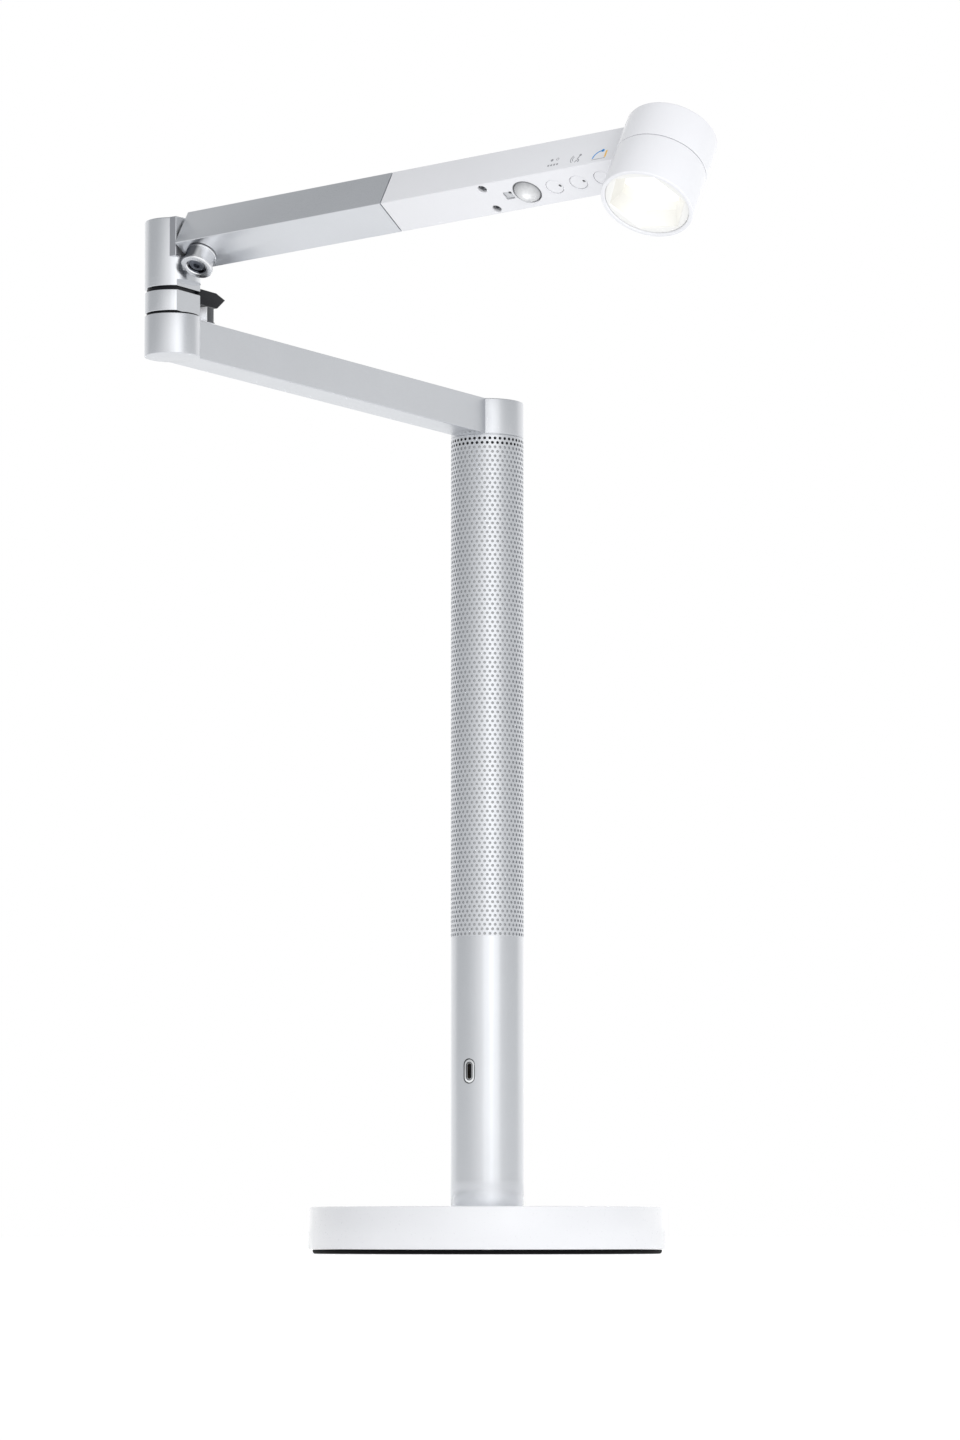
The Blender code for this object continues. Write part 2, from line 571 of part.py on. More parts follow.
# ---- buttons, each on its own slide
for i, x in enumerate(BUTTON_X, 1):
    axis_empty = empty("button_%d_slide" % i, Matrix.Translation((x * MM, 0, -uh * MM)), arm_roll)
    b = turned("b", [(0, -5.3 + uh), (1.0, -5.3 + uh), (1.0, -6.6 + uh), (5.2, -6.6 + uh), (5.2, -7.85 + uh),
                     (BUTTON_R, -7.85 + uh), (BUTTON_R, -9.5 + uh), (BUTTON_R - 0.3, -9.8 + uh),
                     (2.2, -9.45 + uh), (0, -9.35 + uh)], 28)
    finish(b, "button_%d" % i, WHITE, axis_empty)

# ---- head: a cylinder about the arm's local up, in two shells
def head_solid(name, r, z0, z1, edge=0.0):
    if edge:
        return turned(name, [(0, z1), (r - edge, z1), (r - 0.3 * edge, z1 - 0.3 * edge), (r, z1 - edge),
                             (r, z0 + edge), (r - edge, z0), (0, z0)], 72, offset=(ARM_LENGTH, 0, 0))
    return rod(name, r, z0, z1, (ARM_LENGTH, 0), seg=72)


cap = turned("cap", [(0, HEAD_TOP), (HEAD_R - 0.8, HEAD_TOP), (HEAD_R - 0.25, HEAD_TOP - 0.25),
                     (HEAD_R, HEAD_TOP - 0.8), (HEAD_R, HEAD_SPLIT + 0.2), (HEAD_R - 1.8, HEAD_SPLIT + 0.2),
                     (HEAD_R - 1.8, HEAD_TOP - 1.8), (0, HEAD_TOP - 1.8)], 72, offset=(ARM_LENGTH, 0, 0))
cut(cap, bar("c", (ARM_LENGTH - 32, ARM_LENGTH - 12.3), 7.53))
finish(cap, "head_cap", WHITE, arm_roll)

shell = turned("shell", [(HEAD_R, HEAD_SPLIT - 0.2), (HEAD_R, HEAD_BOTTOM + 0.7), (HEAD_R - 0.2, HEAD_BOTTOM + 0.2),
                         (HEAD_R - 0.7, HEAD_BOTTOM), (HEAD_R - 1.6, HEAD_BOTTOM), (HEAD_R - 1.9, HEAD_BOTTOM + 0.3),
                         (HEAD_R - 1.9, HEAD_SPLIT - 0.2)], 72, offset=(ARM_LENGTH, 0, 0))
finish(shell, "head_shell", WHITE, arm_roll)

INNER_R = HEAD_R - 2.3
sink = head_solid("sink", INNER_R, -12.6, -1.5)
for k in range(-3, 4):
    cut(sink, block("c", (ARM_LENGTH - 30, ARM_LENGTH + 30), (5.0 * k - 1.2, 5.0 * k + 1.2), (-8.0, 0)))
finish(sink, "heat_sink", SILVER, arm_roll)
finish(rod("pipe", 2.4, 60.0, 292.0, (0, 1.6), axis="X", seg=24), "heat_pipe", COPPER, arm_roll)

finish(head_solid("ledboard", INNER_R, -14.3, -13.0), "led_board", BOARD, arm_roll)
chip = block("chip", (ARM_LENGTH - 6, ARM_LENGTH + 6), (-6, 6), (-15.6, -14.65), 0.2)
finish(chip, "led_array", GLOW, arm_roll)

# six-sided reflector, open below, with a diffuser plate over the LEDs
refl = head_solid("refl", INNER_R, HEAD_BOTTOM + 0.8, -18.6)
cut(refl, rod("c", HEX_R, HEAD_BOTTOM - 0.6, -24.0, (ARM_LENGTH, 0), seg=6, turn=HEX_TURN, r_top=HEX_R - 3.0),
    rod("c", HEX_R - 3.4, -26, -10, (ARM_LENGTH, 0), seg=6, turn=HEX_TURN))
finish(refl, "reflector", FROST, arm_roll)
finish(rod("lens", INNER_R, -18.2, -16.2, (ARM_LENGTH, 0), seg=72), "front_lens", GLOW, arm_roll)
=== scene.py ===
"""Looks of a two-arm LED desk lamp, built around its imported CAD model.

Every piece is made in mesh code, in the row frame: metres, +Z up, origin on the stem's
axis on the plane the base stands on. The numbers in millimetres are the CAD's own.
"""

import json
import math

import bmesh
import bpy
import numpy as np
from mathutils import Matrix, Vector

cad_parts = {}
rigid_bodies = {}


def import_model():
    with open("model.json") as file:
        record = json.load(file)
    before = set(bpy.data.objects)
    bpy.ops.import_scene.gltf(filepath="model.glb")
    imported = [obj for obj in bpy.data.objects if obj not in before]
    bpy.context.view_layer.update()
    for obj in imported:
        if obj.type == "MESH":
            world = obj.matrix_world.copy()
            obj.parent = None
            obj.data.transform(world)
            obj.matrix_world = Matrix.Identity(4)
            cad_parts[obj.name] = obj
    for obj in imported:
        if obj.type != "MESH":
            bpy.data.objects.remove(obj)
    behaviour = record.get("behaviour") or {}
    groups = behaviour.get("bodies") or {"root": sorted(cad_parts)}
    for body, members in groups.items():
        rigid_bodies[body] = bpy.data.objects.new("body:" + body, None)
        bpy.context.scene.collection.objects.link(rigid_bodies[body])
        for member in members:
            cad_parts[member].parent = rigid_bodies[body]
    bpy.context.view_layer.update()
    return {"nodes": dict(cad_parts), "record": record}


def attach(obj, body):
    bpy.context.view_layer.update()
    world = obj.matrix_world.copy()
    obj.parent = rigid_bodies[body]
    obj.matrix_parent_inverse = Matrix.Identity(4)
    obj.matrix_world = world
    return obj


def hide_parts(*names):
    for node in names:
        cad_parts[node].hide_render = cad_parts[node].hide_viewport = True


for _o in list(bpy.data.objects):
    bpy.data.objects.remove(_o, do_unlink=True)

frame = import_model()

MM = 0.001
PIECES = []

# ---------------------------------------------------------------- CAD dimensions (mm)
BASE_R, BASE_BOTTOM, BASE_TOP, PAD_R, PAD_T, INLET_Z = 93.0, 2.35, 24.1, 90.6, 2.0, 12.8
STEM_R, STEM_IN, STEM_BOTTOM, STEM_TOP = 19.0, 17.8, 24.4, 425.95
USB_Z, USB_TURN = 94.2, 30.0
ARM = 282.0
LOW_Z0, LOW_Z1, LOW_HALF = 426.3, 444.8, 9.25
ELBOW_R, BLOCK_TOP = 13.3, 445.5
PIN = 4.85
UH = 9.8
START, SEAM = 12.2, 133.5
HEAD_R, HEAD_TOP, SPLIT, HEAD_BOTTOM = 21.1, 9.86, -9.7, -32.0
BARREL_X = 21.8
BUTTON_X = (225.2, 238.2, 251.2)
SCREW_X, SENSOR_X, WINDOW_X = 189.2, 210.0, 200.0


def rot(deg, axis):
    return Matrix.Rotation(math.radians(deg), 4, axis)


LOWER = rot(237.84, "Z")
ELBOW = LOWER @ Matrix.Translation((ARM, 0, 0)) @ rot(-35.75 - 237.84, "Z")
ROLL = ELBOW @ Matrix.Translation((0, 0, 480.5)) @ rot(-1.7, "Y") @ rot(-32.1, "X")
PORT = rot(-USB_TURN, "Z") @ Matrix.Translation((0, 0, USB_Z))
WORLD = Matrix.Identity(4)


# ================================================================ materials
class Graph:
    """A small helper for node materials. Coordinates are the object's own, in metres."""

    def __init__(self, name):
        self.mat = bpy.data.materials.new(name)
        self.mat.use_nodes = True
        self.tree = self.mat.node_tree
        self.bsdf = self.tree.nodes["Principled BSDF"]
        self.coord = self.tree.nodes.new("ShaderNodeTexCoord")

    def node(self, kind, **values):
        n = self.tree.nodes.new(kind)
        for key, value in values.items():
            setattr(n, key, value)
        return n

    def link(self, a, b):
        self.tree.links.new(a, b)

    def set(self, **values):
        for key, value in values.items():
            self.bsdf.inputs[key.replace("_", " ")].default_value = value

    def noise(self, scale, detail=3.0, rough=0.5, stretch=(1, 1, 1), spin=(0, 0, 0)):
        m = self.node("ShaderNodeMapping")
        m.inputs["Scale"].default_value = stretch
        m.inputs["Rotation"].default_value = spin
        self.link(self.coord.outputs["Object"], m.inputs["Vector"])
        n = self.node("ShaderNodeTexNoise")
        n.inputs["Scale"].default_value = scale
        n.inputs["Detail"].default_value = detail
        n.inputs["Roughness"].default_value = rough
        self.link(m.outputs["Vector"], n.inputs["Vector"])
        return n.outputs["Fac"]

    def ramp(self, fac, stops):
        r = self.node("ShaderNodeValToRGB")
        while len(r.color_ramp.elements) < len(stops):
            r.color_ramp.elements.new(0.5)
        for e, (pos, colour) in zip(r.color_ramp.elements, stops):
            e.position = pos
            e.color = (*colour, 1.0)
        self.link(fac, r.inputs["Fac"])
        return r.outputs["Color"]

    def spread(self, fac, low, high, frm=(0.3, 0.7)):
        m = self.node("ShaderNodeMapRange")
        m.inputs["From Min"].default_value = frm[0]
        m.inputs["From Max"].default_value = frm[1]
        m.inputs["To Min"].default_value = low
        m.inputs["To Max"].default_value = high
        self.link(fac, m.inputs["Value"])
        return m.outputs["Result"]

    def bump(self, height, strength, distance, before=None):
        b = self.node("ShaderNodeBump")
        b.inputs["Strength"].default_value = strength
        b.inputs["Distance"].default_value = distance
        self.link(height, b.inputs["Height"])
        if before is not None:
            self.link(before, b.inputs["Normal"])
        return b.outputs["Normal"]

    def colour(self, socket):
        self.link(socket, self.bsdf.inputs["Base Color"])

    def rough(self, socket):
        self.link(socket, self.bsdf.inputs["Roughness"])

    def normal(self, socket):
        self.link(socket, self.bsdf.inputs["Normal"])


def shade(c, k):
    return tuple(min(1.0, v * k) for v in c)


def metal(name, colour, rough, grain=3200.0, grain_depth=0.10, cloud=30.0, vary=0.03,
          stretch=(1, 1, 1), spin=(0, 0, 0), aniso=0.0):
    g = Graph(name)
    g.set(Metallic=1.0, Anisotropic=aniso)
    cloudy = g.noise(cloud, 4.0, 0.55)
    fine = g.noise(grain, 2.0, 0.6, stretch, spin)
    g.colour(g.ramp(cloudy, [(0.3, shade(colour, 1 - vary)), (0.7, shade(colour, 1 + vary))]))
    g.rough(g.spread(fine, rough - 0.035, rough + 0.045))
    g.normal(g.bump(fine, grain_depth, 0.00003))
    return g.mat


def plastic(name, colour, rough, coat=0.0, coat_rough=0.08, grain=1400.0, grain_depth=0.05,
            cloud=22.0, vary=0.012, sub=0.0, spec=0.5):
    g = Graph(name)
    g.set(Coat_Weight=coat, Coat_Roughness=coat_rough, Specular_IOR_Level=spec)
    if sub:
        g.set(Subsurface_Weight=sub, Subsurface_Scale=0.002, Subsurface_Radius=(1.0, 0.9, 0.8))
    cloudy = g.noise(cloud, 4.0, 0.6)
    fine = g.noise(grain, 2.0, 0.55)
    peel = g.noise(grain * 0.16, 2.0, 0.5)
    g.colour(g.ramp(cloudy, [(0.3, shade(colour, 1 - vary)), (0.7, shade(colour, 1 + vary))]))
    g.rough(g.spread(fine, rough - 0.03, rough + 0.05))
    g.normal(g.bump(fine, grain_depth, 0.00002, g.bump(peel, 0.03, 0.00006)))
    return g.mat


ALU = metal("satin_anodised_aluminium", (0.650, 0.664, 0.690), 0.24, 4200.0, 0.10, 26.0, 0.018)
ALU_ARM = metal("satin_arm_aluminium", (0.640, 0.654, 0.680), 0.30, 4200.0, 0.12, 26.0, 0.018)
WHITE = plastic("gloss_white_moulding", (0.760, 0.763, 0.790), 0.34, coat=0.45, coat_rough=0.07)
WHITE_BASE = plastic("lacquered_white_base", (0.735, 0.740, 0.762), 0.30, coat=1.0, coat_rough=0.02,
                     grain=900.0, grain_depth=0.03)
BLACK = plastic("moulded_black_polymer", (0.0035, 0.004, 0.006), 0.42, grain=2600.0, grain_depth=0.25,
                vary=0.2, spec=0.22)
SOFT_BLACK = plastic("soft_black_elastomer", (0.004, 0.0045, 0.007), 0.30, grain=1900.0,
                     grain_depth=0.25, vary=0.25, spec=0.16)
RUBBER = plastic("ribbed_black_rubber", (0.0025, 0.0025, 0.003), 0.72, grain=1200.0, grain_depth=0.5,
                 vary=0.3, spec=0.12)
STEEL = metal("turned_steel", (0.56, 0.57, 0.585), 0.30, 2200.0, 0.16, 60.0, 0.05, (1, 1, 9))
ALU_FINE = metal("satin_perforated_aluminium", (0.660, 0.674, 0.700), 0.34, 4200.0, 0.10, 26.0, 0.018)
BRIGHT = metal("polished_steel", (0.72, 0.73, 0.75), 0.14, 2600.0, 0.05, 60.0, 0.03)
BEZEL = metal("bead_blasted_bezel", (0.80, 0.81, 0.82), 0.24, 3600.0, 0.08, 60.0, 0.03)
GUNMETAL = metal("dark_coated_steel", (0.13, 0.14, 0.165), 0.36, 2400.0, 0.2, 90.0, 0.12)
# painted shade: a darker copy of the aluminium for the knuckle's flanks
FLANK_PAINTED_SHADE = metal("aluminium_flank_painted_shade", (0.40, 0.41, 0.435), 0.34, 3000.0, 0.2, 60.0, 0.05, (1, 1, 7))
# painted light: a lighter copy of the aluminium for the knuckle's end face
END_PAINTED_LIGHT = metal("aluminium_end_painted_light", (0.90, 0.905, 0.92), 0.38, 3000.0, 0.15, 60.0, 0.03)
DARK_STEEL = metal("blackened_steel", (0.30, 0.305, 0.32), 0.34, 2400.0, 0.2, 60.0, 0.08)
CAST = metal("coated_cast_iron", (0.10, 0.10, 0.11), 0.62, 700.0, 0.8, 45.0, 0.2)
FROST = plastic("frosted_polycarbonate", (0.88, 0.885, 0.89), 0.5, grain=2200.0, grain_depth=0.2,
                sub=0.35)
BUSH = plastic("bearing_polymer", (0.74, 0.72, 0.66), 0.45, grain=1800.0, grain_depth=0.2, vary=0.04)
COPPER = metal("drawn_copper", (0.72, 0.38, 0.22), 0.3, 1800.0, 0.15, 40.0, 0.08, (9, 1, 1))
SMOKED = plastic("smoked_window", (0.035, 0.037, 0.042), 0.12, coat=0.6, coat_rough=0.03, vary=0.1)
GREY_WINDOW = plastic("grey_sensor_window", (0.52, 0.53, 0.55), 0.25, coat=0.5, coat_rough=0.06,
                      vary=0.05)
INK_GREY = plastic("printed_grey", (0.27, 0.275, 0.29), 0.45, vary=0.06)
INK_BLUE = plastic("printed_blue", (0.03, 0.26, 0.62), 0.4, vary=0.08)
INK_AMBER = plastic("printed_amber", (0.86, 0.52, 0.12), 0.4, vary=0.08)
GOLD = metal("gilt_contact", (0.86, 0.66, 0.30), 0.22, 3000.0, 0.05, 80.0, 0.04)


def board_material():
    g = Graph("solder_mask_board")
    g.set(Coat_Weight=0.4, Coat_Roughness=0.1)
    b = g.node("ShaderNodeTexBrick")
    b.inputs["Scale"].default_value = 420.0
    b.inputs["Mortar Size"].default_value = 0.06
    b.inputs["Color1"].default_value = (0.012, 0.12, 0.055, 1)
    b.inputs["Color2"].default_value = (0.016, 0.15, 0.07, 1)
    b.inputs["Mortar"].default_value = (0.03, 0.24, 0.12, 1)
    g.link(g.coord.outputs["Object"], b.inputs["Vector"])
    g.colour(b.outputs["Color"])
    g.rough(g.spread(g.noise(900.0), 0.32, 0.5))
    g.normal(g.bump(b.outputs["Fac"], 0.3, 0.00004))
    return g.mat


def acrylic_material():
    g = Graph("clear_acrylic_rod")
    g.set(Transmission_Weight=0.9, IOR=1.49)
    g.colour(g.ramp(g.noise(35.0), [(0.3, (0.94, 0.96, 0.97)), (0.7, (0.98, 0.985, 0.99))]))
    g.rough(g.spread(g.noise(800.0), 0.06, 0.16))
    return g.mat


def sleeve_material():
    """The bearing sleeve's collar: dark near its top, light lower down."""
    g = Graph("stepped_sleeve_anodising")
    g.set(Metallic=0.35)
    z = g.node("ShaderNodeSeparateXYZ")
    g.link(g.coord.outputs["Object"], z.inputs["Vector"])
    fac = g.spread(z.outputs["Z"], 0.0, 1.0, (0.4200, 0.4202))
    g.colour(g.ramp(fac, [(0.0, (0.72, 0.73, 0.75)), (1.0, (0.035, 0.036, 0.04))]))
    g.rough(g.spread(g.noise(2600.0), 0.36, 0.5))
    g.normal(g.bump(g.noise(3200.0, 2.0), 0.15, 0.00003))
    return g.mat


def tube_glow_material():
    """The stem's light diffuser: frosted, faintly lit from its core."""
    g = Graph("lit_stem_diffuser")
    cloudy = g.noise(14.0, 3.0)
    g.set(Emission_Strength=0.33)
    g.colour(g.ramp(cloudy, [(0.3, (0.15, 0.152, 0.158)), (0.7, (0.17, 0.172, 0.178))]))
    g.link(g.ramp(cloudy, [(0.3, (0.93, 0.96, 1.0)), (0.7, (0.98, 0.99, 1.0))]),
           g.bsdf.inputs["Emission Color"])
    g.rough(g.spread(g.noise(2000.0), 0.42, 0.56))
    g.normal(g.bump(g.noise(2400.0, 2.0), 0.2, 0.00003))
    return g.mat


def optic_material(name, strength, deep, bright, roughness):
    """Warm white light with a soft mottled diffuser pattern."""
    g = Graph(name)
    g.set(Emission_Strength=strength)
    v = g.node("ShaderNodeTexVoronoi")
    v.inputs["Scale"].default_value = 1300.0
    g.link(g.coord.outputs["Object"], v.inputs["Vector"])
    mott = g.spread(v.outputs["Distance"], 0.0, 1.0, (0.0, 0.8))
    tone = g.ramp(mott, [(0.0, bright), (1.0, deep)])
    g.link(tone, g.bsdf.inputs["Emission Color"])
    g.colour(g.ramp(g.noise(60.0), [(0.3, shade(bright, 0.74)), (0.7, shade(bright, 0.80))]))
    g.rough(g.spread(g.noise(1200.0), roughness, roughness + 0.12))
    g.normal(g.bump(v.outputs["Distance"], 0.25, 0.00005))
    return g.mat


def bracket_painted_reflection_material():
    """Plated bracket with a painted reflection: the face beside the elbow is made light and given a faint glow, the
    face along the arm is made dark.
    """
    g = Graph("plated_bracket_painted_reflection")
    g.set(Metallic=0.9)
    dot = g.node("ShaderNodeVectorMath", operation="DOT_PRODUCT")
    dot.inputs[1].default_value = (0.847, -0.532, 0.0)
    g.link(g.coord.outputs["Normal"], dot.inputs[0])
    # painted reflection: the face beside the elbow gets a light colour and a faint glow, the face along the arm a dark
    # colour
    side = g.spread(dot.outputs["Value"], 0.0, 1.0, (0.45, 0.95))
    g.colour(g.ramp(side, [(0.0, (0.93, 0.935, 0.95)), (1.0, (0.10, 0.104, 0.112))]))
    g.link(g.ramp(side, [(0.0, (0.30, 0.30, 0.31)), (1.0, (0.0, 0.0, 0.0))]), g.bsdf.inputs["Emission Color"])
    g.set(Emission_Strength=1.0)
    g.rough(g.spread(g.noise(2600.0, 2.0, 0.6, (1, 1, 0.1)), 0.26, 0.40))
    g.normal(g.bump(g.noise(2600.0, 2.0), 0.10, 0.00003))
    return g.mat


def barrel_material():
    """Polished stop with a painted reflection: by which way a face points, one flank is made dark and the other bright;
    drawn lengthwise.
    """
    g = Graph("polished_stop_steel_painted_reflection")
    g.set(Metallic=1.0)
    dot = g.node("ShaderNodeVectorMath", operation="DOT_PRODUCT")
    dot.inputs[1].default_value = (-0.957, 0.135, 0.257)
    g.link(g.coord.outputs["Normal"], dot.inputs[0])
    # painted reflection: faces turned one way get the dark colour, the rest get the bright colour
    side = g.spread(dot.outputs["Value"], 0.0, 1.0, (0.02, 0.26))
    g.colour(g.ramp(side, [(0.0, (0.84, 0.845, 0.86)), (1.0, (0.16, 0.165, 0.18))]))
    g.bsdf.inputs["Specular Tint"].default_value = (0.34, 0.35, 0.37, 1.0)
    g.rough(g.spread(g.noise(2600.0, 2.0), 0.14, 0.24))
    g.normal(g.bump(g.noise(2600.0, 2.0), 0.05, 0.00003))
    return g.mat


def lip_material():
    """The white lip round the light opening, with a faint painted glow."""
    g = Graph("satin_white_lip_painted_glow")
    # painted light: a faint warm glow on the lip
    g.set(Emission_Strength=0.02, Coat_Weight=0.3, Coat_Roughness=0.1)
    cloudy = g.noise(40.0, 3.0)
    g.colour(g.ramp(cloudy, [(0.3, (0.80, 0.798, 0.78)), (0.7, (0.82, 0.817, 0.80))]))
    g.link(g.ramp(cloudy, [(0.3, (1.0, 0.99, 0.95)), (0.7, (1.0, 0.995, 0.96))]), g.bsdf.inputs["Emission Color"])
    g.rough(g.spread(g.noise(1600.0), 0.30, 0.42))
    g.normal(g.bump(g.noise(1500.0, 2.0), 0.06, 0.00002))
    return g.mat


def cone_material():
    """Reflector wall with painted light: a glow that pools low and to the middle, dimmer and warmer toward the two
    ends.
    """
    g = Graph("reflector_wall_painted_light")
    g.set(Emission_Strength=1.0)
    sep = g.node("ShaderNodeSeparateXYZ")
    g.link(g.coord.outputs["Object"], sep.inputs["Vector"])
    # painted light: the strength of the glow is set by position across the head
    left = g.spread(sep.outputs["X"], 1.0, 0.0, (0.0545, 0.0665))
    right = g.spread(sep.outputs["X"], 0.0, 0.40, (0.0775, 0.0865))
    ends = g.node("ShaderNodeMath", operation="ADD")
    g.link(left, ends.inputs[0])
    g.link(right, ends.inputs[1])
    g.link(g.ramp(ends.outputs["Value"], [(0.0, (0.26, 0.258, 0.245)), (1.0, (0.07, 0.064, 0.042))]),
           g.bsdf.inputs["Emission Color"])
    g.colour(g.ramp(g.noise(60.0), [(0.3, (0.66, 0.655, 0.635)), (0.7, (0.69, 0.685, 0.665))]))
    g.rough(g.spread(g.noise(400.0), 0.34, 0.42))
    g.normal(g.bump(g.noise(400.0, 2.0), 0.02, 0.00001))
    return g.mat


BRACKET_PAINTED_REFLECTION = bracket_painted_reflection_material()
POLISHED_PAINTED_REFLECTION = barrel_material()
LIP_PAINTED_GLOW = lip_material()
BOARD = board_material()
ACRYLIC = acrylic_material()
SLEEVE = sleeve_material()
TUBE_GLOW = tube_glow_material()
LENS_GLOW = optic_material("glowing_diffuser_plate", 0.62, (1.0, 0.985, 0.93), (1.0, 0.995, 0.96), 0.3)
CONE_GLOW = cone_material()
CHIP_GLOW = optic_material("phosphor_array", 4.0, (1.0, 0.88, 0.62), (1.0, 0.93, 0.75), 0.4)


# ================================================================ mesh helpers (mm)
def to_object(bm, name="tmp"):
    mesh = bpy.data.meshes.new(name)
    bmesh.ops.recalc_face_normals(bm, faces=bm.faces)
    bm.to_mesh(mesh)
    bm.free()
    obj = bpy.data.objects.new(name, mesh)
    bpy.context.scene.collection.objects.link(obj)
    return obj


def arc_corner(p0, p1, p2, r, n=4):
    """Points that round the corner p1 of a profile with radius r."""
    a, b, c = Vector(p0), Vector(p1), Vector(p2)
    u, v = (a - b), (c - b)
    lu, lv = u.length, v.length
    u.normalize()
    v.normalize()
    ang = u.angle(v)
    if ang > math.radians(178) or r <= 0:
        return [tuple(b)]
    d = min(r / math.tan(ang / 2), 0.49 * lu, 0.49 * lv)
    r = d * math.tan(ang / 2)
    mid = (u + v).normalized() * (r / math.sin(ang / 2))
    centre = b + mid
    s, e = b + u * d - centre, b + v * d - centre
    total = s.angle(e)
    sign = 1 if s.x * e.y - s.y * e.x > 0 else -1
    out = []
    for i in range(n + 1):
        t = sign * total * i / n
        out.append((centre.x + s.x * math.cos(t) - s.y * math.sin(t),
                    centre.y + s.x * math.sin(t) + s.y * math.cos(t)))
    return out


def rounded(points, closed=False, n=4):
    """points are (r, z) or (r, z, corner radius)."""
    out = []
    count = len(points)
    for i, p in enumerate(points):
        r = p[2] if len(p) > 2 else 0.0
        if r and (closed or 0 < i < count - 1):
            out += arc_corner(points[i - 1][:2], p[:2], points[(i + 1) % count][:2], r, n)
        else:
            out.append(p[:2])
    return out


def lathe(points, seg=128, n=4, centre=(0.0, 0.0)):
    """Solid of revolution about Z. Ends on the axis are capped, otherwise the loop is closed."""
    closed = points[0][0] > 1e-9 or points[-1][0] > 1e-9
    prof = rounded(points, closed, n)
    bm = bmesh.new()
    rings = []
    for r, z in prof:
        if r < 1e-9:
            rings.append([bm.verts.new((centre[0], centre[1], z))])
        else:
            rings.append([bm.verts.new((centre[0] + r * math.cos(2 * math.pi * k / seg),
                                        centre[1] + r * math.sin(2 * math.pi * k / seg), z))
                          for k in range(seg)])
    pairs = list(zip(rings, rings[1:]))
    if closed:
        pairs.append((rings[-1], rings[0]))
    for a, b in pairs:
        if len(a) == 1 and len(b) == 1:
            continue
        for k in range(seg):
            m = (k + 1) % seg
            if len(a) == 1:
                bm.faces.new((a[0], b[k], b[m]))
            elif len(b) == 1:
                bm.faces.new((a[k], b[0], a[m]))
            else:
                bm.faces.new((a[k], b[k], b[m], a[m]))
    return to_object(bm)


def outline_prism(outline, z0, z1, edge=0.0, n=2):
    """Flat outline pushed from z0 to z1, its rim edges rounded."""
    bm = bmesh.new()
    low = [bm.verts.new((x, y, z0)) for x, y in outline]
    face = bm.faces.new(low)
    out = bmesh.ops.extrude_face_region(bm, geom=[face])
    bmesh.ops.translate(bm, verts=[v for v in out["geom"] if isinstance(v, bmesh.types.BMVert)],
                        vec=(0, 0, z1 - z0))
    if edge:
        rims = [e for e in bm.edges if abs(e.verts[0].co.z - e.verts[1].co.z) < 1e-6]
        bmesh.ops.bevel(bm, geom=rims, offset=edge, segments=n, profile=0.5, affect="EDGES",
                        clamp_overlap=True)
    return to_object(bm)


def circle(r, seg=64, centre=(0.0, 0.0), turn=0.0):
    return [(centre[0] + r * math.cos(2 * math.pi * k / seg + turn),
             centre[1] + r * math.sin(2 * math.pi * k / seg + turn)) for k in range(seg)]


def slot_outline(tall, wide, seg=20):
    """Slot along local Y with round ends."""
    h, r = (tall - wide) / 2, wide / 2
    top = [(r * math.cos(math.pi * k / seg), h + r * math.sin(math.pi * k / seg)) for k in range(seg + 1)]
    low = [(-x, -y) for x, y in top]
    return top + low


def bar(x, half, corner=0.5, end=0.12, z_mid=0.0, half_y=None):
    """Square bar along X, its long edges rounded and its ends broken."""
    half_y = half if half_y is None else half_y
    section = rounded([(-half_y, -half, corner), (half_y, -half, corner),
                       (half_y, half, corner), (-half_y, half, corner)], True, 5)
    obj = outline_prism(section, x[0], x[1], end)
    # the prism runs along Z with its section in X and Y: turn it to run along X
    return reframe(obj, ((0, 0, 1, 0), (1, 0, 0, 0), (0, 1, 0, z_mid), (0, 0, 0, 1)))


def box_piece(x, y, z, edge=0.0, n=2):
    obj = outline_prism([(x[0], y[0]), (x[1], y[0]), (x[1], y[1]), (x[0], y[1])], z[0], z[1])
    if edge:
        bm = bmesh.new()
        bm.from_mesh(obj.data)
        bmesh.ops.bevel(bm, geom=list(bm.edges), offset=edge, segments=n, profile=0.5, affect="EDGES",
                        clamp_overlap=True)
        bm.to_mesh(obj.data)
        bm.free()
    return obj


def rod(r, z0, z1, centre=(0.0, 0.0), seg=64, edge=0.0, turn=0.0):
    return outline_prism(circle(r, seg, centre, turn), z0, z1, edge)


def reframe(obj, rows):
    """Swap axes. A mirrored swap turns the faces over again, so that the solid stays outward."""
    m = Matrix(rows)
    obj.data.transform(m)
    if m.to_3x3().determinant() < 0:
        obj.data.flip_normals()
    return obj


def along(obj, axis):
    """Turn a Z solid to run along +X or +Y."""
    obj.data.transform(rot(90, "Y") if axis == "X" else rot(-90, "X"))
    return obj


def combine(obj, other, how):
    mod = obj.modifiers.new("b", "BOOLEAN")
    mod.operation = how
    mod.solver = "EXACT"
    mod.object = other
    dg = bpy.context.evaluated_depsgraph_get()
    dg.update()
    mesh = bpy.data.meshes.new_from_object(obj.evaluated_get(dg))
    obj.modifiers.clear()
    old = obj.data
    obj.data = mesh
    bpy.data.meshes.remove(old)
    bpy.data.objects.remove(other, do_unlink=True)
    return obj


def cut(obj, *others):
    for o in others:
        combine(obj, o, "DIFFERENCE")
    return obj


def add(obj, *others):
    for o in others:
        combine(obj, o, "UNION")
    return obj


def merge(*objs):
    """Several closed bodies in one piece."""
    bm = bmesh.new()
    for o in objs:
        bm.from_mesh(o.data)
    mesh = bpy.data.meshes.new("m")
    bm.to_mesh(mesh)
    bm.free()
    for o in objs[1:]:
        bpy.data.objects.remove(o, do_unlink=True)
    objs[0].data = mesh
    return objs[0]


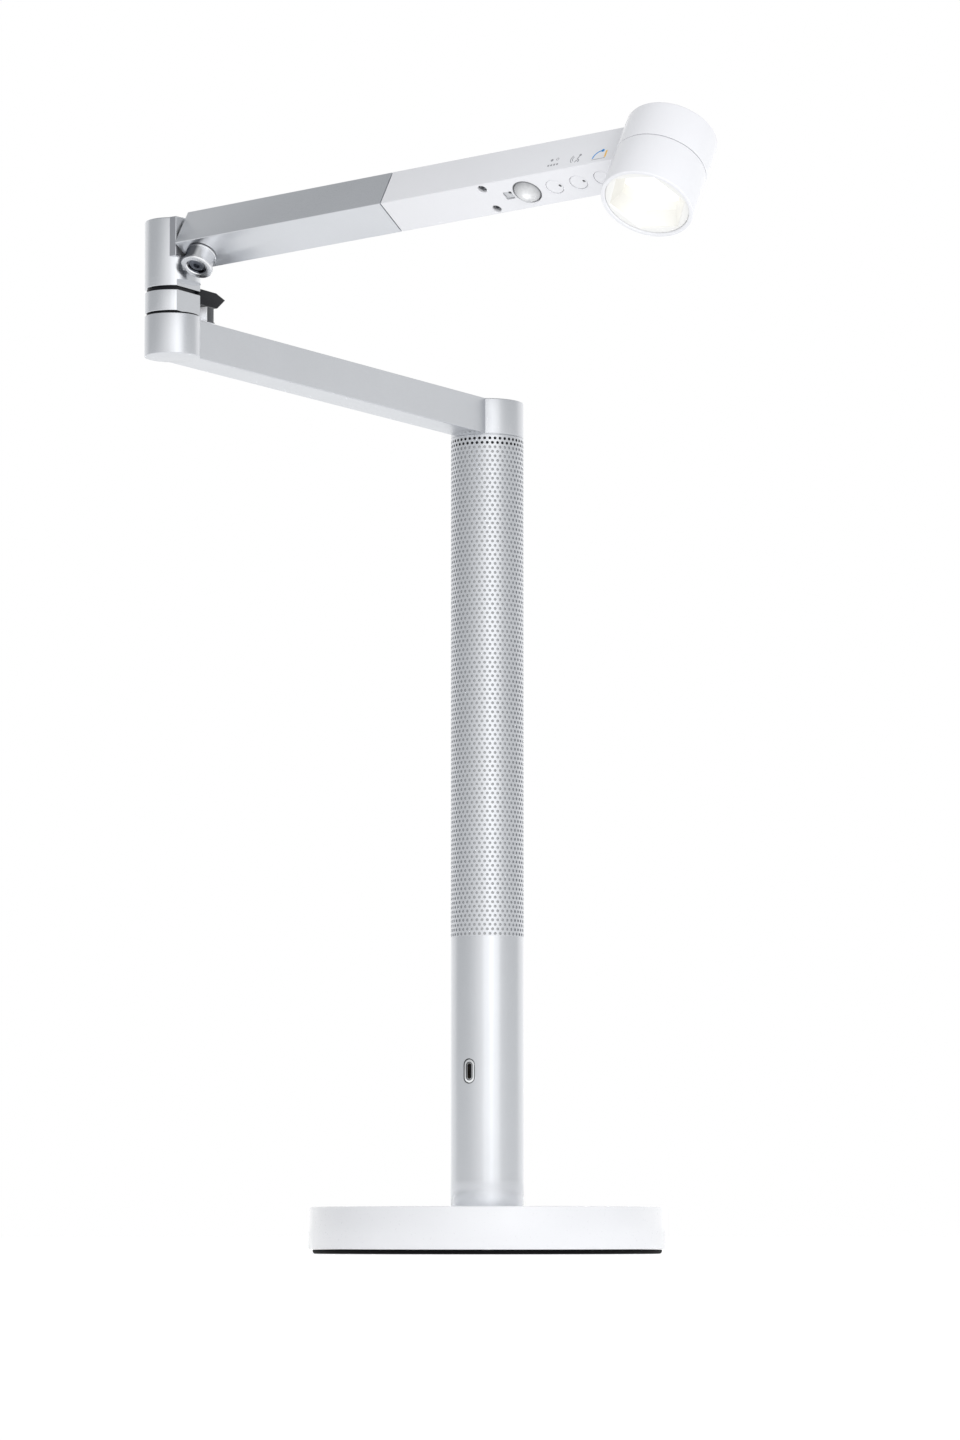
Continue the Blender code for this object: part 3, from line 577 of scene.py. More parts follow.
def piece(obj, name, mat, body, place=WORLD, nodes=(), sharp=28.0, clean=True):
    """Name, place, shade and hand a finished piece to its CAD body."""
    mesh = obj.data
    if clean:
        bm = bmesh.new()
        bm.from_mesh(mesh)
        bmesh.ops.remove_doubles(bm, verts=bm.verts, dist=0.0004)
        bmesh.ops.dissolve_degenerate(bm, edges=bm.edges, dist=0.0002)
        bmesh.ops.recalc_face_normals(bm, faces=bm.faces)
        bm.to_mesh(mesh)
        bm.free()
    mesh.transform(Matrix.Scale(MM, 4) @ place)
    mesh.materials.clear()
    mesh.materials.append(mat)
    mesh.polygons.foreach_set("material_index", np.zeros(len(mesh.polygons), np.int32))
    mesh.polygons.foreach_set("use_smooth", np.ones(len(mesh.polygons), bool))
    mesh.set_sharp_from_angle(angle=math.radians(sharp))
    mesh.update()
    obj.name = name
    mesh.name = name
    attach(obj, body)
    if nodes:
        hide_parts(*nodes)
    PIECES.append(obj)
    return obj


# ================================================================ base
cover = lathe([(6.0, BASE_TOP), (BASE_R, BASE_TOP, 0.5), (BASE_R, BASE_BOTTOM, 0.35),
               (90.2, BASE_BOTTOM, 0.2), (90.2, 21.3, 0.8), (6.0, 21.3)], 256, 5)
cut(cover, along(rod(4.4, 85, 97, (0, -INLET_Z), 64), "Y"))
piece(cover, "base_shell", WHITE_BASE, "base", nodes=["base_cover"])

# the pad: a soft ring edge, a shallow tread on its underside, three screw wells
pad_profile = [(0, PAD_T), (PAD_R, PAD_T, 0.25), (PAD_R, 0.75, 0.15), (PAD_R - 0.75, 0.0, 0.15)]
r = 86.0
while r > 46.0:
    pad_profile += [(r, 0.0), (r - 0.4, 0.45), (r - 1.6, 0.45), (r - 2.0, 0.0)]
    r -= 4.0
pad_profile += [(0, 0.0)]
pad = lathe(pad_profile, 192, 3)
spots = [(68 * math.cos(math.radians(a)), 68 * math.sin(math.radians(a))) for a in (30, 150, 270)]
for p in spots:
    cut(pad, rod(3.6, -1, 3, p, 32))
piece(pad, "base_tread_pad", RUBBER, "base", nodes=["base_pad"])

jack = box_piece((-5.2, 5.2), (76, 89.8), (INLET_Z - 5.2, INLET_Z + 5.2), 0.5, 3)
add(jack, along(lathe([(0, 89.0), (4.0, 89.0), (4.0, 92.7, 0.25), (0, 92.7)], 64, centre=(0, -INLET_Z)), "Y"))
cut(jack, along(lathe([(0, 81.0), (3.1, 81.0), (3.1, 92.2), (3.7, 93.0), (0, 93.0)], 64,
                      centre=(0, -INLET_Z)), "Y"))
piece(jack, "inlet_body", BLACK, "base", nodes=["dc_inlet"])
pin = along(lathe([(0, 80.6), (1.0, 80.6), (1.0, 91.2, 0.4), (0, 91.2)], 40, centre=(0, -INLET_Z)), "Y")
piece(pin, "inlet_centre_pin", BRIGHT, "base")


# ================================================================ perforated stem
PITCH = 2 * math.pi * STEM_R / 44
ROW = 2.35
ROWS = 111
PERF_TOP = 423.8 + ROW / 2
PERF_BOTTOM = PERF_TOP - ROWS * ROW
HOLE_R = 0.79


def stem_section(name, row0, row1, below=None, above=None, port=False):
    """A closed length of tube with rows row0 to row1 (counted up) of staggered round holes.
    below and above are the heights of plain bands under and over the rows."""
    half = math.pi / 44
    verts, faces = [], []

    def ring(z, r):
        start = len(verts)
        for k in range(88):
            verts.append((r * math.sin(k * half), -r * math.cos(k * half), z))
        return start

    def band(a, b, flip):
        for k in range(88):
            m = (k + 1) % 88
            q = (a + k, a + m, b + m, b + k)
            faces.append(q if not flip else q[::-1])

    z_of = [PERF_BOTTOM + j * ROW for j in range(row0, row1 + 1)]
    outer = [ring(z, STEM_R) for z in z_of]
    inner = [ring(z, STEM_IN) for z in z_of]
    for n, j in enumerate(range(row0, row1)):
        off = j % 2
        zc = z_of[n] + ROW / 2
        for i in range(44):
            k0 = (2 * i + off) % 88
            km, k1 = (k0 + 1) % 88, (k0 + 2) % 88
            centre = (2 * i + off + 1) * half
            loops = []
            for radius, rows in ((STEM_R, outer), (STEM_IN, inner)):
                hole = len(verts)
                for h in range(12):
                    t = 2 * math.pi * h / 12
                    ang = centre + HOLE_R * math.cos(t) / STEM_R
                    verts.append((radius * math.sin(ang), -radius * math.cos(ang), zc + HOLE_R * math.sin(t)))
                b, t_ = rows[n], rows[n + 1]
                loops.append((hole, [b + k1, t_ + k1, t_ + km, t_ + k0, b + k0, b + km]))
            # boundary corners against the hole's twelve points, counter-clockwise from outside
            plan = [(0, 11, 0), (1, 1, 2), (2, 3, 4), (3, 5, 6), (4, 7, 8), (5, 9, 10)]
            order = [(5, 9), (0, 10), (0, 11), (0, 0), (1, 0), (1, 1), (1, 2), (2, 2), (2, 3), (3, 3)]
            for which, (hole, rim) in enumerate(loops):
                tri = []
                seq = [(0, 10), (0, 11), (0, 0), "R01", (1, 0), (1, 1), "R12", (2, 2), (2, 3), "R23",
                       (3, 4), (3, 5), "R34", (4, 6), (4, 7), "R45", (5, 8), (5, 9), "R50"]
                # fans: each rim corner owns a run of hole edges, and rim edges close the gaps
                runs = {0: (10, 12), 1: (0, 2), 2: (2, 4), 3: (4, 6), 4: (6, 8), 5: (8, 10)}
                for c, (h0, h1) in runs.items():
                    for h in range(h0, h1):
                        tri.append((rim[c], hole + (h + 1) % 12, hole + h % 12))
                    nxt = (c + 1) % 6
                    tri.append((rim[c], rim[nxt], hole + h1 % 12))
                faces.extend(tri if which == 0 else [q[::-1] for q in tri])
            a, b = loops[0][0], loops[1][0]
            for h in range(12):
                m = (h + 1) % 12
                faces.append((a + h, a + m, b + m, b + h))
    lo_out, lo_in, hi_out, hi_in = outer[0], inner[0], outer[-1], inner[-1]
    if below is not None:
        o, i_ = ring(below, STEM_R), ring(below, STEM_IN)
        band(o, lo_out, False)
        band(i_, lo_in, True)
        lo_out, lo_in = o, i_
    if above is not None:
        o, o2, i_ = ring(above - 0.25, STEM_R), ring(above, STEM_R - 0.25), ring(above, STEM_IN)
        band(hi_out, o, False)
        band(o, o2, False)
        band(hi_in, i_, True)
        hi_out, hi_in = o2, i_
    band(lo_in, lo_out, False)
    band(hi_out, hi_in, False)
    mesh = bpy.data.meshes.new(name)
    mesh.from_pydata(verts, [], faces)
    mesh.validate()
    obj = bpy.data.objects.new(name, mesh)
    bpy.context.scene.collection.objects.link(obj)
    return obj


BELTS = [z for z in (134.0, 120.0, 108.0, 104.0, 101.5, 87.0, 84.0, 80.0, 68.0, 52.0, 38.0) if z < PERF_BOTTOM - 3]
plain = lathe([(STEM_R, PERF_BOTTOM)] + [(STEM_R, z) for z in BELTS] + [(STEM_R, STEM_BOTTOM, 0.15),
              (STEM_IN, STEM_BOTTOM)] + [(STEM_IN, z) for z in BELTS[::-1]] + [(STEM_IN, PERF_BOTTOM)], 176, 2)
plain.data.transform(rot(-90, "Z"))


def port_slot(tall, wide, y0, y1, edge=0.0):
    """Slot tall along Z, running along Y from y0 to y1."""
    obj = outline_prism(slot_outline(tall, wide), y0, y1, edge)
    return reframe(obj, ((1, 0, 0, 0), (0, 0, 1, 0), (0, 1, 0, 0), (0, 0, 0, 1)))


tool = port_slot(13.0, 6.7, -22, -10)
tool.data.transform(PORT)
cut(plain, tool)
piece(plain, "stem_plain_tube", ALU, "base", nodes=["stem_tube"])
for n, (r0, r1, up) in enumerate(((0, 37, None), (37, 74, None), (74, 111, STEM_TOP)), 1):
    piece(stem_section("t", r0, r1, above=up), "stem_perforated_%d" % n, ALU_FINE, "base",
          nodes=["stem_tube"], sharp=35.0, clean=False)

slip = lathe([(17.6, 425.97), (18.88, 425.97), (18.88, 426.28), (17.6, 426.28)], 192, 2)
piece(slip, "stem_slip_ring", ALU, "base")

bezel = port_slot(12.2, 5.9, -18.7, -15.6, 0.35)
cut(bezel, port_slot(9.7, 4.0, -22, -10))
piece(bezel, "port_bezel", BEZEL, "base", PORT, ["usb_bezel"])
shell = port_slot(8.94, 3.16, -18.5, -11.2, 0.1)
cut(shell, port_slot(8.34, 2.56, -22, -11.8))
piece(shell, "port_shell", STEEL, "base", PORT, ["usb_socket"])
tongue = box_piece((-0.35, 0.35), (-17.6, -11.4), (-3.35, 3.35), 0.12)
piece(tongue, "port_tongue", BLACK, "base", PORT, ["usb_socket"])
pads = [box_piece((s * 0.35 - 0.03, s * 0.35 + 0.03), (-17.2, -14.0), (z - 0.15, z + 0.15))
        for s in (-1, 1) for z in (-2.75, -2.25, -1.75, -1.25, -0.75, -0.25, 0.25, 0.75, 1.25, 1.75, 2.25, 2.75)]
piece(merge(*pads), "port_contacts", GOLD, "base", PORT)

# ================================================================ lower arm
mid = (LOW_Z0 + LOW_Z1) / 2
arm = lathe([(0, LOW_Z1), (STEM_R, LOW_Z1, 0.55), (STEM_R, LOW_Z0, 0.25), (0, LOW_Z0)], 192)
block = lathe([(0, BLOCK_TOP), (ELBOW_R, BLOCK_TOP, 0.3), (ELBOW_R, LOW_Z0 - 0.02, 0.3), (0, LOW_Z0 - 0.02)], 144,
              centre=(ARM, 0))
add(arm, bar((8.0, ARM - 3.0), LOW_HALF - 0.01, 0.45, 0.05, mid), block)
cut(arm, rod(16.95, 420, 441.0, seg=72), rod(12.6, 430, 450, seg=64),
    lathe([(0, 450.0), (15.6, 450.0), (15.6, 445.0), (15.3, 444.5), (15.3, 442.6), (0, 442.6)], 96),
    bar((9.0, ARM - 6.5), LOW_HALF - 1.6, 0.4, 0.0, mid - 0.4),
    rod(PIN, 429.0, 450, (ARM, 0), 48))
piece(arm, "lower_arm_body", ALU_ARM, "lower_arm", LOWER, ["lower_arm_frame"])

lens = lathe([(0, 444.55), (6.0, 444.62), (12.0, 444.66), (14.95, 444.6, 0.3), (14.95, 442.95), (0, 442.95)], 96)
piece(lens, "stem_cap_lens", FROST, "lower_arm", LOWER, ["cap_lens"])

washer = lathe([(12.5, 446.25, 0.1), (12.5, 445.85, 0.1), (PIN, 445.85), (PIN, 446.25)], 96, 2, (ARM, 0))
piece(washer, "elbow_seal_washer", BLACK, "lower_arm", LOWER, ["elbow_washer"])
ring = lathe([(ELBOW_R, 456.6, 0.3), (ELBOW_R, 446.6, 0.3), (PIN, 446.6), (PIN, 456.6)], 144, 4, (ARM, 0))
for s in (-1, 1):
    y = (LOW_HALF, 30) if s > 0 else (-30, -LOW_HALF)
    cut(ring, box_piece((ARM - 30, ARM + 30), y, (440, 470)))
piece(ring, "elbow_ring_body", ALU, "lower_arm", LOWER, ["elbow_ring"])

# the soft stop: side outline in X and Z, pushed across the arm's width, edges rounded
NOSE = ARM - 31.0
side = [(ARM - 7.0, 452.75), (ARM - 24.4, 452.75), (NOSE, 457.8), (ARM - 23.5, 460.1), (ARM - 7.0, 460.1)]
stop = outline_prism([(x, z) for x, z in side], -(LOW_HALF - 0.25), LOW_HALF - 0.25)
reframe(stop, ((1, 0, 0, 0), (0, 0, 1, 0), (0, 1, 0, 0), (0, 0, 0, 1)))
_bm = bmesh.new()
_bm.from_mesh(stop.data)
bmesh.ops.bevel(_bm, geom=list(_bm.edges), offset=0.55, segments=3, profile=0.6, affect="EDGES",
                clamp_overlap=True)
_bm.to_mesh(stop.data)
_bm.free()
cut(stop, rod(ELBOW_R + 0.35, 440, 456.85, (ARM, 0), 144), rod(ELBOW_R + 0.35, 458.25, 470, (ARM, 0), 144))
add(stop, lathe([(0, 458.2), (12.4, 458.2), (12.4, 456.9), (0, 456.9)], 96, 2, (ARM, 0)),
    box_piece((ARM - 14.5, ARM - 8), (-7.5, 7.5), (456.9, 458.2)))
cut(stop, rod(PIN, 440, 470, (ARM, 0), 48), box_piece((ARM - 7, ARM + 30), (LOW_HALF - 0.6, 30), (440, 470)),
    box_piece((ARM - 7, ARM + 30), (-30, -LOW_HALF + 0.6), (440, 470)))
piece(stop, "parking_stop", SOFT_BLACK, "lower_arm", LOWER, ["parking_pad"], sharp=40.0)

post = box_piece((ARM - 21.3, ARM - 15.6), (-9.0, 9.0), (445.1, 452.4), 0.3, 3)
add(post, box_piece((ARM - 21.75, ARM - 15.15), (-9.2, 9.2), (444.95, 445.5), 0.12))
piece(post, "parking_bracket", BRACKET_PAINTED_REFLECTION, "lower_arm", LOWER, ["parking_post"])

# ================================================================ knuckle
knuckle = lathe([(0, 491.2), (ELBOW_R, 491.2, 0.75), (ELBOW_R, 458.5, 0.3), (0, 458.5)], 144)
pad_block = box_piece((0.0, 11.0), (-11.2, 11.2), (472.3, 491.19), 0.0)
_bm = bmesh.new()
_bm.from_mesh(pad_block.data)
bmesh.ops.bevel(_bm, geom=[e for e in _bm.edges if all(v.co.x > 10.9 for v in e.verts)
                           or all(v.co.z > 491.0 for v in e.verts)],
                offset=0.3, segments=3, profile=0.5, affect="EDGES", clamp_overlap=True)
_bm.to_mesh(pad_block.data)
_bm.free()
add(knuckle, pad_block)
flat = box_piece((-30, 30), (LOW_HALF, 30), (450, 461.5))
flat.data.transform(rot(237.84 + 35.75, "Z"))
cut(knuckle, flat,
    box_piece((11.0, 30), (-20, 20), (472.3, 500)), box_piece((11.6, 30), (-20, 20), (465.8, 472.5)),
    rod(PIN, 450, 465, seg=64), rod(6.8, 461.0, 489.5, seg=64),
    lathe([(0, 500.0), (10.6, 500.0), (10.6, 491.5), (10.2, 490.9), (10.2, 488.7), (0, 488.7)], 96),
    along(rod(5.35, 4.0, 15, (-480.5, 0), 64), "X"))
piece(knuckle, "knuckle_body", ALU, "knuckle", ELBOW, ["knuckle_housing"])
# painted shade: thin sheets of darker aluminium laid on the knuckle's two flanks
flank = merge(*[box_piece((7.4, 10.75), (min(y, y + s), max(y, y + s)), (472.6, 490.9))
                for y, s in ((-11.2, -0.03), (11.2, 0.03))])
piece(flank, "knuckle_flank_painted_shade", FLANK_PAINTED_SHADE, "knuckle", ELBOW)
# painted light: a thin sheet of lighter aluminium laid on the knuckle's end face
painted_light_sheet = box_piece((11.0, 11.04), (-10.85, 10.85), (472.65, 490.85))
cut(painted_light_sheet, along(rod(8.0, 4.0, 15, (-480.5, 0), 64), "X"))
piece(painted_light_sheet, "knuckle_end_painted_light", END_PAINTED_LIGHT, "knuckle", ELBOW)
cap = lathe([(0, 491.05), (2.4, 491.05), (2.6, 490.85), (2.8, 491.05), (9.85, 491.05, 0.3), (9.85, 489.05), (0, 489.05)], 96)
piece(cap, "knuckle_top_disc", ALU, "knuckle", ELBOW, ["knuckle_cap"])

# ================================================================ upper arm, silver beam
beam = bar((START, SEAM - 0.3), UH, 0.5, 0.12)
cut(beam, bar((15.6, SEAM + 5), UH - 1.7, 0.3, 0.0), along(rod(6.35, 5, 20, seg=64), "X"),
    rod(3.35, -15, -5, (BARREL_X, 0), 48))
piece(beam, "beam_body", ALU_ARM, "upper_arm", ROLL, ["upper_arm_beam"])

barrel = lathe([(0, -6.8), (2.6, -6.8), (3.0, -7.2), (3.0, -10.1), (7.3, -10.1, 0.15), (7.3, -10.9, 0.1),
                (7.15, -11.0, 0.05), (7.15, -16.6, 0.05), (7.4, -16.9, 0.1), (7.85, -17.15, 0.2), (7.85, -18.3, 0.25),
                (7.35, -18.6, 0.15), (4.9, -18.6, 0.3), (4.6, -18.2, 0.1), (4.6, -15.4), (0, -15.4)],
               96, 3, (BARREL_X, 0))
# fine lengthwise grip flutes between the two collars
_bm = bmesh.new()
_bm.from_mesh(barrel.data)
for v in _bm.verts:
    dx, dy = v.co.x - BARREL_X, v.co.y
    rr = math.hypot(dx, dy)
    if -16.62 < v.co.z < -10.9 and 7.0 < rr < 7.25:
        k = round(math.atan2(dy, dx) / (2 * math.pi) * 96)
        if k % 2:
            v.co.x -= dx / rr * 0.06
            v.co.y -= dy / rr * 0.06
_bm.to_mesh(barrel.data)
_bm.free()
piece(barrel, "roll_stop_barrel", POLISHED_PAINTED_REFLECTION, "upper_arm", ROLL, ["roll_barrel"], sharp=22.0)
screw = lathe([(0, -15.75), (4.0, -15.75), (4.0, -17.1, 0.5), (3.2, -17.6, 0.3), (0, -17.6)], 72, 4, (BARREL_X, 0))
cut(screw, rod(1.75, -19, -16.3, (BARREL_X, 0), 6))
piece(screw, "roll_stop_screw", GUNMETAL, "upper_arm", ROLL, ["barrel_screw"])

# ================================================================ upper arm, white control section
control = bar((SEAM + 0.3, ARM - 5), UH, 0.45, 0.12)
cut(control, bar((SEAM - 5, ARM + 5), UH - 1.6, 0.3, 0.0), rod(HEAD_R + 0.35, -40, 40, (ARM, 0), 160))
for y in (-6.6, 6.6):
    cut(control, lathe([(0, -5.0), (2.15, -5.0), (2.15, -9.5), (2.4, -9.8), (2.4, -12.0), (0, -12.0)], 48,
                       centre=(SCREW_X, y)))
cut(control,
    lathe([(0, -5.0), (6.9, -5.0), (6.9, -9.6), (7.1, -9.8), (7.1, -12.0), (0, -12.0)], 96, centre=(SENSOR_X, 0)),
    outline_prism(rounded([(197.6, -2.4, 0.5), (202.4, -2.4, 0.5), (202.4, 2.4, 0.5), (197.6, 2.4, 0.5)], True, 4),
                  -15, -5),
    *[lathe([(0, -5.0), (4.30, -5.0), (4.30, -9.68), (4.42, -9.8), (4.42, -12.0), (0, -12.0)], 72, centre=(x, 0))
      for x in BUTTON_X])
piece(control, "control_section_shell", WHITE, "upper_arm", ROLL, ["control_cover"])


def lobed(r, depth, lobes, seg, centre):
    return [(centre[0] + (r - depth * (0.5 + 0.5 * math.cos(lobes * 2 * math.pi * k / seg))) * math.cos(2 * math.pi * k / seg),
             centre[1] + (r - depth * (0.5 + 0.5 * math.cos(lobes * 2 * math.pi * k / seg))) * math.sin(2 * math.pi * k / seg))
            for k in range(seg)]


for i, y in enumerate((-6.6, 6.6), 1):
    s = lathe([(0, -2.2), (0.9, -2.2), (0.9, -7.7), (1.75, -7.7), (1.75, -8.5, 0.35), (0, -8.7)], 48, 4, (SCREW_X, y))
    cut(s, outline_prism(lobed(1.15, 0.32, 6, 48, (SCREW_X, y)), -10, -7.9))
    piece(s, "cover_screw_head_%d" % i, DARK_STEEL, "upper_arm", ROLL, ["cover_screw_%d" % i])

# motion-sensor lens: a dome of facets in rings, standing in its well
rings_ = [(1.35, -12.35, 6), (2.9, -12.05, 10), (4.3, -11.45, 14), (5.4, -10.7, 18), (6.15, -9.8, 24), (6.45, -8.6, 24)]
_bm = bmesh.new()
seg = 72
prev = None
top = _bm.verts.new((SENSOR_X, 0, -12.45))
for r_, z_, cells in rings_:
    row = []
    for k in range(seg):
        t = 2 * math.pi * k / seg
        width = 2 * math.pi / cells
        local = ((t + width / 2) % width) - width / 2
        rr = r_ * math.cos(width / 2) / math.cos(local) * (1 + 0.35 * (1 / math.cos(width / 2) - 1))
        row.append(_bm.verts.new((SENSOR_X + rr * math.cos(t), rr * math.sin(t), z_)))
    if prev is None:
        for k in range(seg):
            _bm.faces.new((top, row[k], row[(k + 1) % seg]))
    else:
        for k in range(seg):
            m = (k + 1) % seg
            _bm.faces.new((prev[k], row[k], row[m], prev[m]))
    prev = row
for r_, z_ in ((6.45, -7.9), (7.3, -7.9), (7.3, -6.9)):
    row = [_bm.verts.new((SENSOR_X + r_ * math.cos(2 * math.pi * k / seg), r_ * math.sin(2 * math.pi * k / seg), z_))
           for k in range(seg)]
    for k in range(seg):
        m = (k + 1) % seg
        _bm.faces.new((prev[k], row[k], row[m], prev[m]))
    prev = row
_bm.faces.new(prev)
dome = to_object(_bm)
DOME = Graph("milky_sensor_dome_painted_glint")
DOME.set(IOR=1.5, Coat_Weight=0.6, Coat_Roughness=0.05)
# painted highlight and shade: near white at a spot by the dome's tip, darker out toward its rim
_to_painted_glint = DOME.node("ShaderNodeVectorMath", operation="DISTANCE")
_to_painted_glint.inputs[1].default_value = tuple(ROLL @ Vector((SENSOR_X + 0.3, 0.2, -12.45)) * MM)
DOME.link(DOME.coord.outputs["Object"], _to_painted_glint.inputs[0])
_painted_glint_falloff = DOME.node("ShaderNodeMath", operation="ADD")
DOME.link(_to_painted_glint.outputs["Value"], _painted_glint_falloff.inputs[0])
DOME.link(DOME.spread(DOME.noise(700.0, 2.0), -0.0004, 0.0004), _painted_glint_falloff.inputs[1])
DOME.colour(DOME.ramp(DOME.spread(_painted_glint_falloff.outputs["Value"], 0.0, 1.0, (0.0, 0.0075)),
                      [(0.12, (0.95, 0.95, 0.96)), (0.34, (0.68, 0.685, 0.695)), (0.66, (0.50, 0.505, 0.515)),
                       (0.92, (0.36, 0.365, 0.375))]))
DOME.rough(DOME.spread(DOME.noise(1500.0), 0.14, 0.24))
DOME.normal(DOME.bump(DOME.noise(1900.0, 2.0), 0.12, 0.00003))
piece(dome, "sensor_dome", DOME.mat, "upper_arm", ROLL, ["motion_sensor_lens"], sharp=9.0)

window = outline_prism(rounded([(197.9, -2.1, 0.4), (202.1, -2.1, 0.4), (202.1, 2.1, 0.4), (197.9, 2.1, 0.4)], True, 4),
                       -9.2, -7.6, 0.12)
cut(window, rod(0.82, -12, -8.6, (201.1, -1.1), 32))
piece(window, "light_sensor_window", GREY_WINDOW, "upper_arm", ROLL, ["sensor_window"])
piece(rod(0.8, -8.8, -8.5, (201.1, -1.1), 32), "light_sensor_eye", SMOKED, "upper_arm", ROLL)

# buttons: dished caps and a small lamp
for i, x in enumerate(BUTTON_X, 1):
    b = lathe([(0, -5.3), (1.0, -5.3), (1.0, -6.6), (5.2, -6.6), (5.2, -7.85), (4.16, -7.85), (4.16, -9.72, 0.3),
               (3.0, -9.55, 0.6), (0, -9.30)], 72, 4, (x, 0))
    cut(b, rod(0.78, -12, -9.15, (x + 2.85, 0), 28))
    body = [k for k, v in frame["record"]["behaviour"]["bodies"].items() if v == ["button_%d" % i]][0]
    piece(b, "button_cap_%d" % i, WHITE, body, ROLL, ["button_%d" % i])
    piece(rod(0.74, -9.42, -9.1, (x + 2.85, 0), 28, 0.06), "button_lamp_%d" % i, SMOKED, body, ROLL)


# printed marks on the side face, 0.03 mm thick: plain generic pictograms
def mark(outline, name, mat):
    """outline is in (along the arm, up the face); the face is the arm's -Y side."""
    obj = outline_prism(outline, 0.0, 0.035)
    return reframe(obj, ((1, 0, 0, 0), (0, 0, -1, -UH + 0.005), (0, 1, 0, 0), (0, 0, 0, 1)))


def stroke(points, width):
    left, right = [], []
    for i, p in enumerate(points):
        a = Vector(points[max(0, i - 1)])
        b = Vector(points[min(len(points) - 1, i + 1)])
        d = (b - a).normalized()
        nrm = Vector((-d.y, d.x)) * width / 2
        left.append(tuple(Vector(p) + nrm))
        right.append(tuple(Vector(p) - nrm))
    return left + right[::-1]


def arc(cx, cy, r, a0, a1, n=16):
    return [(cx + r * math.cos(math.radians(a0 + (a1 - a0) * k / n)),
             cy + r * math.sin(math.radians(a0 + (a1 - a0) * k / n))) for k in range(n + 1)]


def ring_mark(cx, cy, r, w):
    return [mark(stroke(arc(cx, cy, r, 0, 178), w), "m", None), mark(stroke(arc(cx, cy, r, 180, 358), w), "m", None)]


grey = [mark(circle(0.72, 24, (227.4, -3.0)), "m", None)] + ring_mark(230.4, -2.9, 0.66, 0.24)
grey += [mark([(225.9 + 1.6 * k, -6.6), (226.8 + 1.6 * k, -6.6), (226.8 + 1.6 * k, -5.6), (225.9 + 1.6 * k, -5.6)], "m", None)
         for k in range(4)]
grey += [mark(stroke(arc(240.9, -4.9, 1.7, 130, 230), 0.36), "m", None),
         mark(stroke(arc(240.9, -4.9, 2.7, 130, 230), 0.36), "m", None),
         mark(circle(0.66, 24, (242.9, -3.1)), "m", None),
         mark(stroke([(242.6, -3.8), (241.9, -5.1), (242.8, -6.1), (242.6, -7.2)], 0.56), "m", None),
         mark(stroke([(241.8, -5.9), (240.8, -7.0)], 0.5), "m", None),
         mark(stroke([(250.3, -7.7), (257.5, -7.7)], 0.26), "m", None)]
piece(merge(*grey), "printed_marks_grey", INK_GREY, "upper_arm", ROLL)
blue = [mark(stroke(arc(254.9, -7.2, 4.3, 178, 88), 0.62), "m", None), mark(circle(0.85, 24, (255.0, -2.9)), "m", None)]
piece(merge(*blue), "printed_mark_blue", INK_BLUE, "upper_arm", ROLL)
amber = [mark(stroke([(257.2, -3.2), (257.2, -7.2)], 0.9), "m", None)]
piece(merge(*amber), "printed_mark_amber", INK_AMBER, "upper_arm", ROLL)

# ================================================================ head
C = (ARM, 0)
cap = lathe([(0, HEAD_TOP), (HEAD_R, HEAD_TOP, 1.1), (HEAD_R, SPLIT + 0.2, 0.12), (HEAD_R - 1.8, SPLIT + 0.2),
             (HEAD_R - 1.8, HEAD_TOP - 1.8, 0.5), (0, HEAD_TOP - 1.8)], 192, 6, C)
cut(cap, bar((ARM - 32, ARM - 12.3), 7.53, 0.3, 0.0))
piece(cap, "head_top_shell", WHITE, "upper_arm", ROLL, ["head_cap"])
low = lathe([(HEAD_R, SPLIT - 0.2, 0.12), (HEAD_R, HEAD_BOTTOM, 0.55), (HEAD_R - 1.6, HEAD_BOTTOM, 0.15),
             (HEAD_R - 1.9, HEAD_BOTTOM + 0.35, 0.1), (HEAD_R - 1.9, SPLIT - 0.2)], 192, 5, C)
piece(low, "head_lower_shell", WHITE, "upper_arm", ROLL, ["head_shell"])

# six-sided reflector: flat lip, bevelled hexagonal mouth, walls that lean in to the plate
INNER = HEAD_R - 2.3


def hexagon(r, z, round_=0.0):
    pts = [(C[0] + r * math.cos(math.radians(60 * k + 10)), C[1] + r * math.sin(math.radians(60 * k + 10)))
           for k in range(6)]
    return rounded([(x, y, round_) for x, y in pts], True, 5) if round_ else pts




def hex_tool(levels, round_):
    bm = bmesh.new()
    rows = [[bm.verts.new((x, y, z)) for x, y in hexagon(r_, z, round_)] for r_, z in levels]
    for a, b in zip(rows, rows[1:]):
        for k in range(len(a)):
            m = (k + 1) % len(a)
            bm.faces.new((a[k], a[m], b[m], b[k]))
    bm.faces.new(rows[0])
    bm.faces.new(rows[-1])
    return to_object(bm)


refl = lathe([(0, -18.6), (INNER, -18.6, 0.2), (INNER, HEAD_BOTTOM + 1.75), (0, HEAD_BOTTOM + 1.75)], 144, 4, C)
cut(refl, hex_tool([(18.6, HEAD_BOTTOM - 0.5), (18.25, HEAD_BOTTOM + 1.75), (14.9, -24.4), (14.4, -23.8),
                    (14.4, -17.0)], 0.6))
lip = lathe([(0, HEAD_BOTTOM + 1.7), (HEAD_R - 2.0, HEAD_BOTTOM + 1.7), (HEAD_R - 2.0, HEAD_BOTTOM + 0.8, 0.2),
             (0, HEAD_BOTTOM + 0.8)], 144, 4, C)
cut(lip, hex_tool([(19.0, HEAD_BOTTOM - 0.1), (18.5, HEAD_BOTTOM + 0.85), (18.25, HEAD_BOTTOM + 1.2),
                   (18.25, HEAD_BOTTOM + 3.0)], 0.6))
piece(lip, "hex_mouth_lip", LIP_PAINTED_GLOW, "upper_arm", ROLL, sharp=12.0)
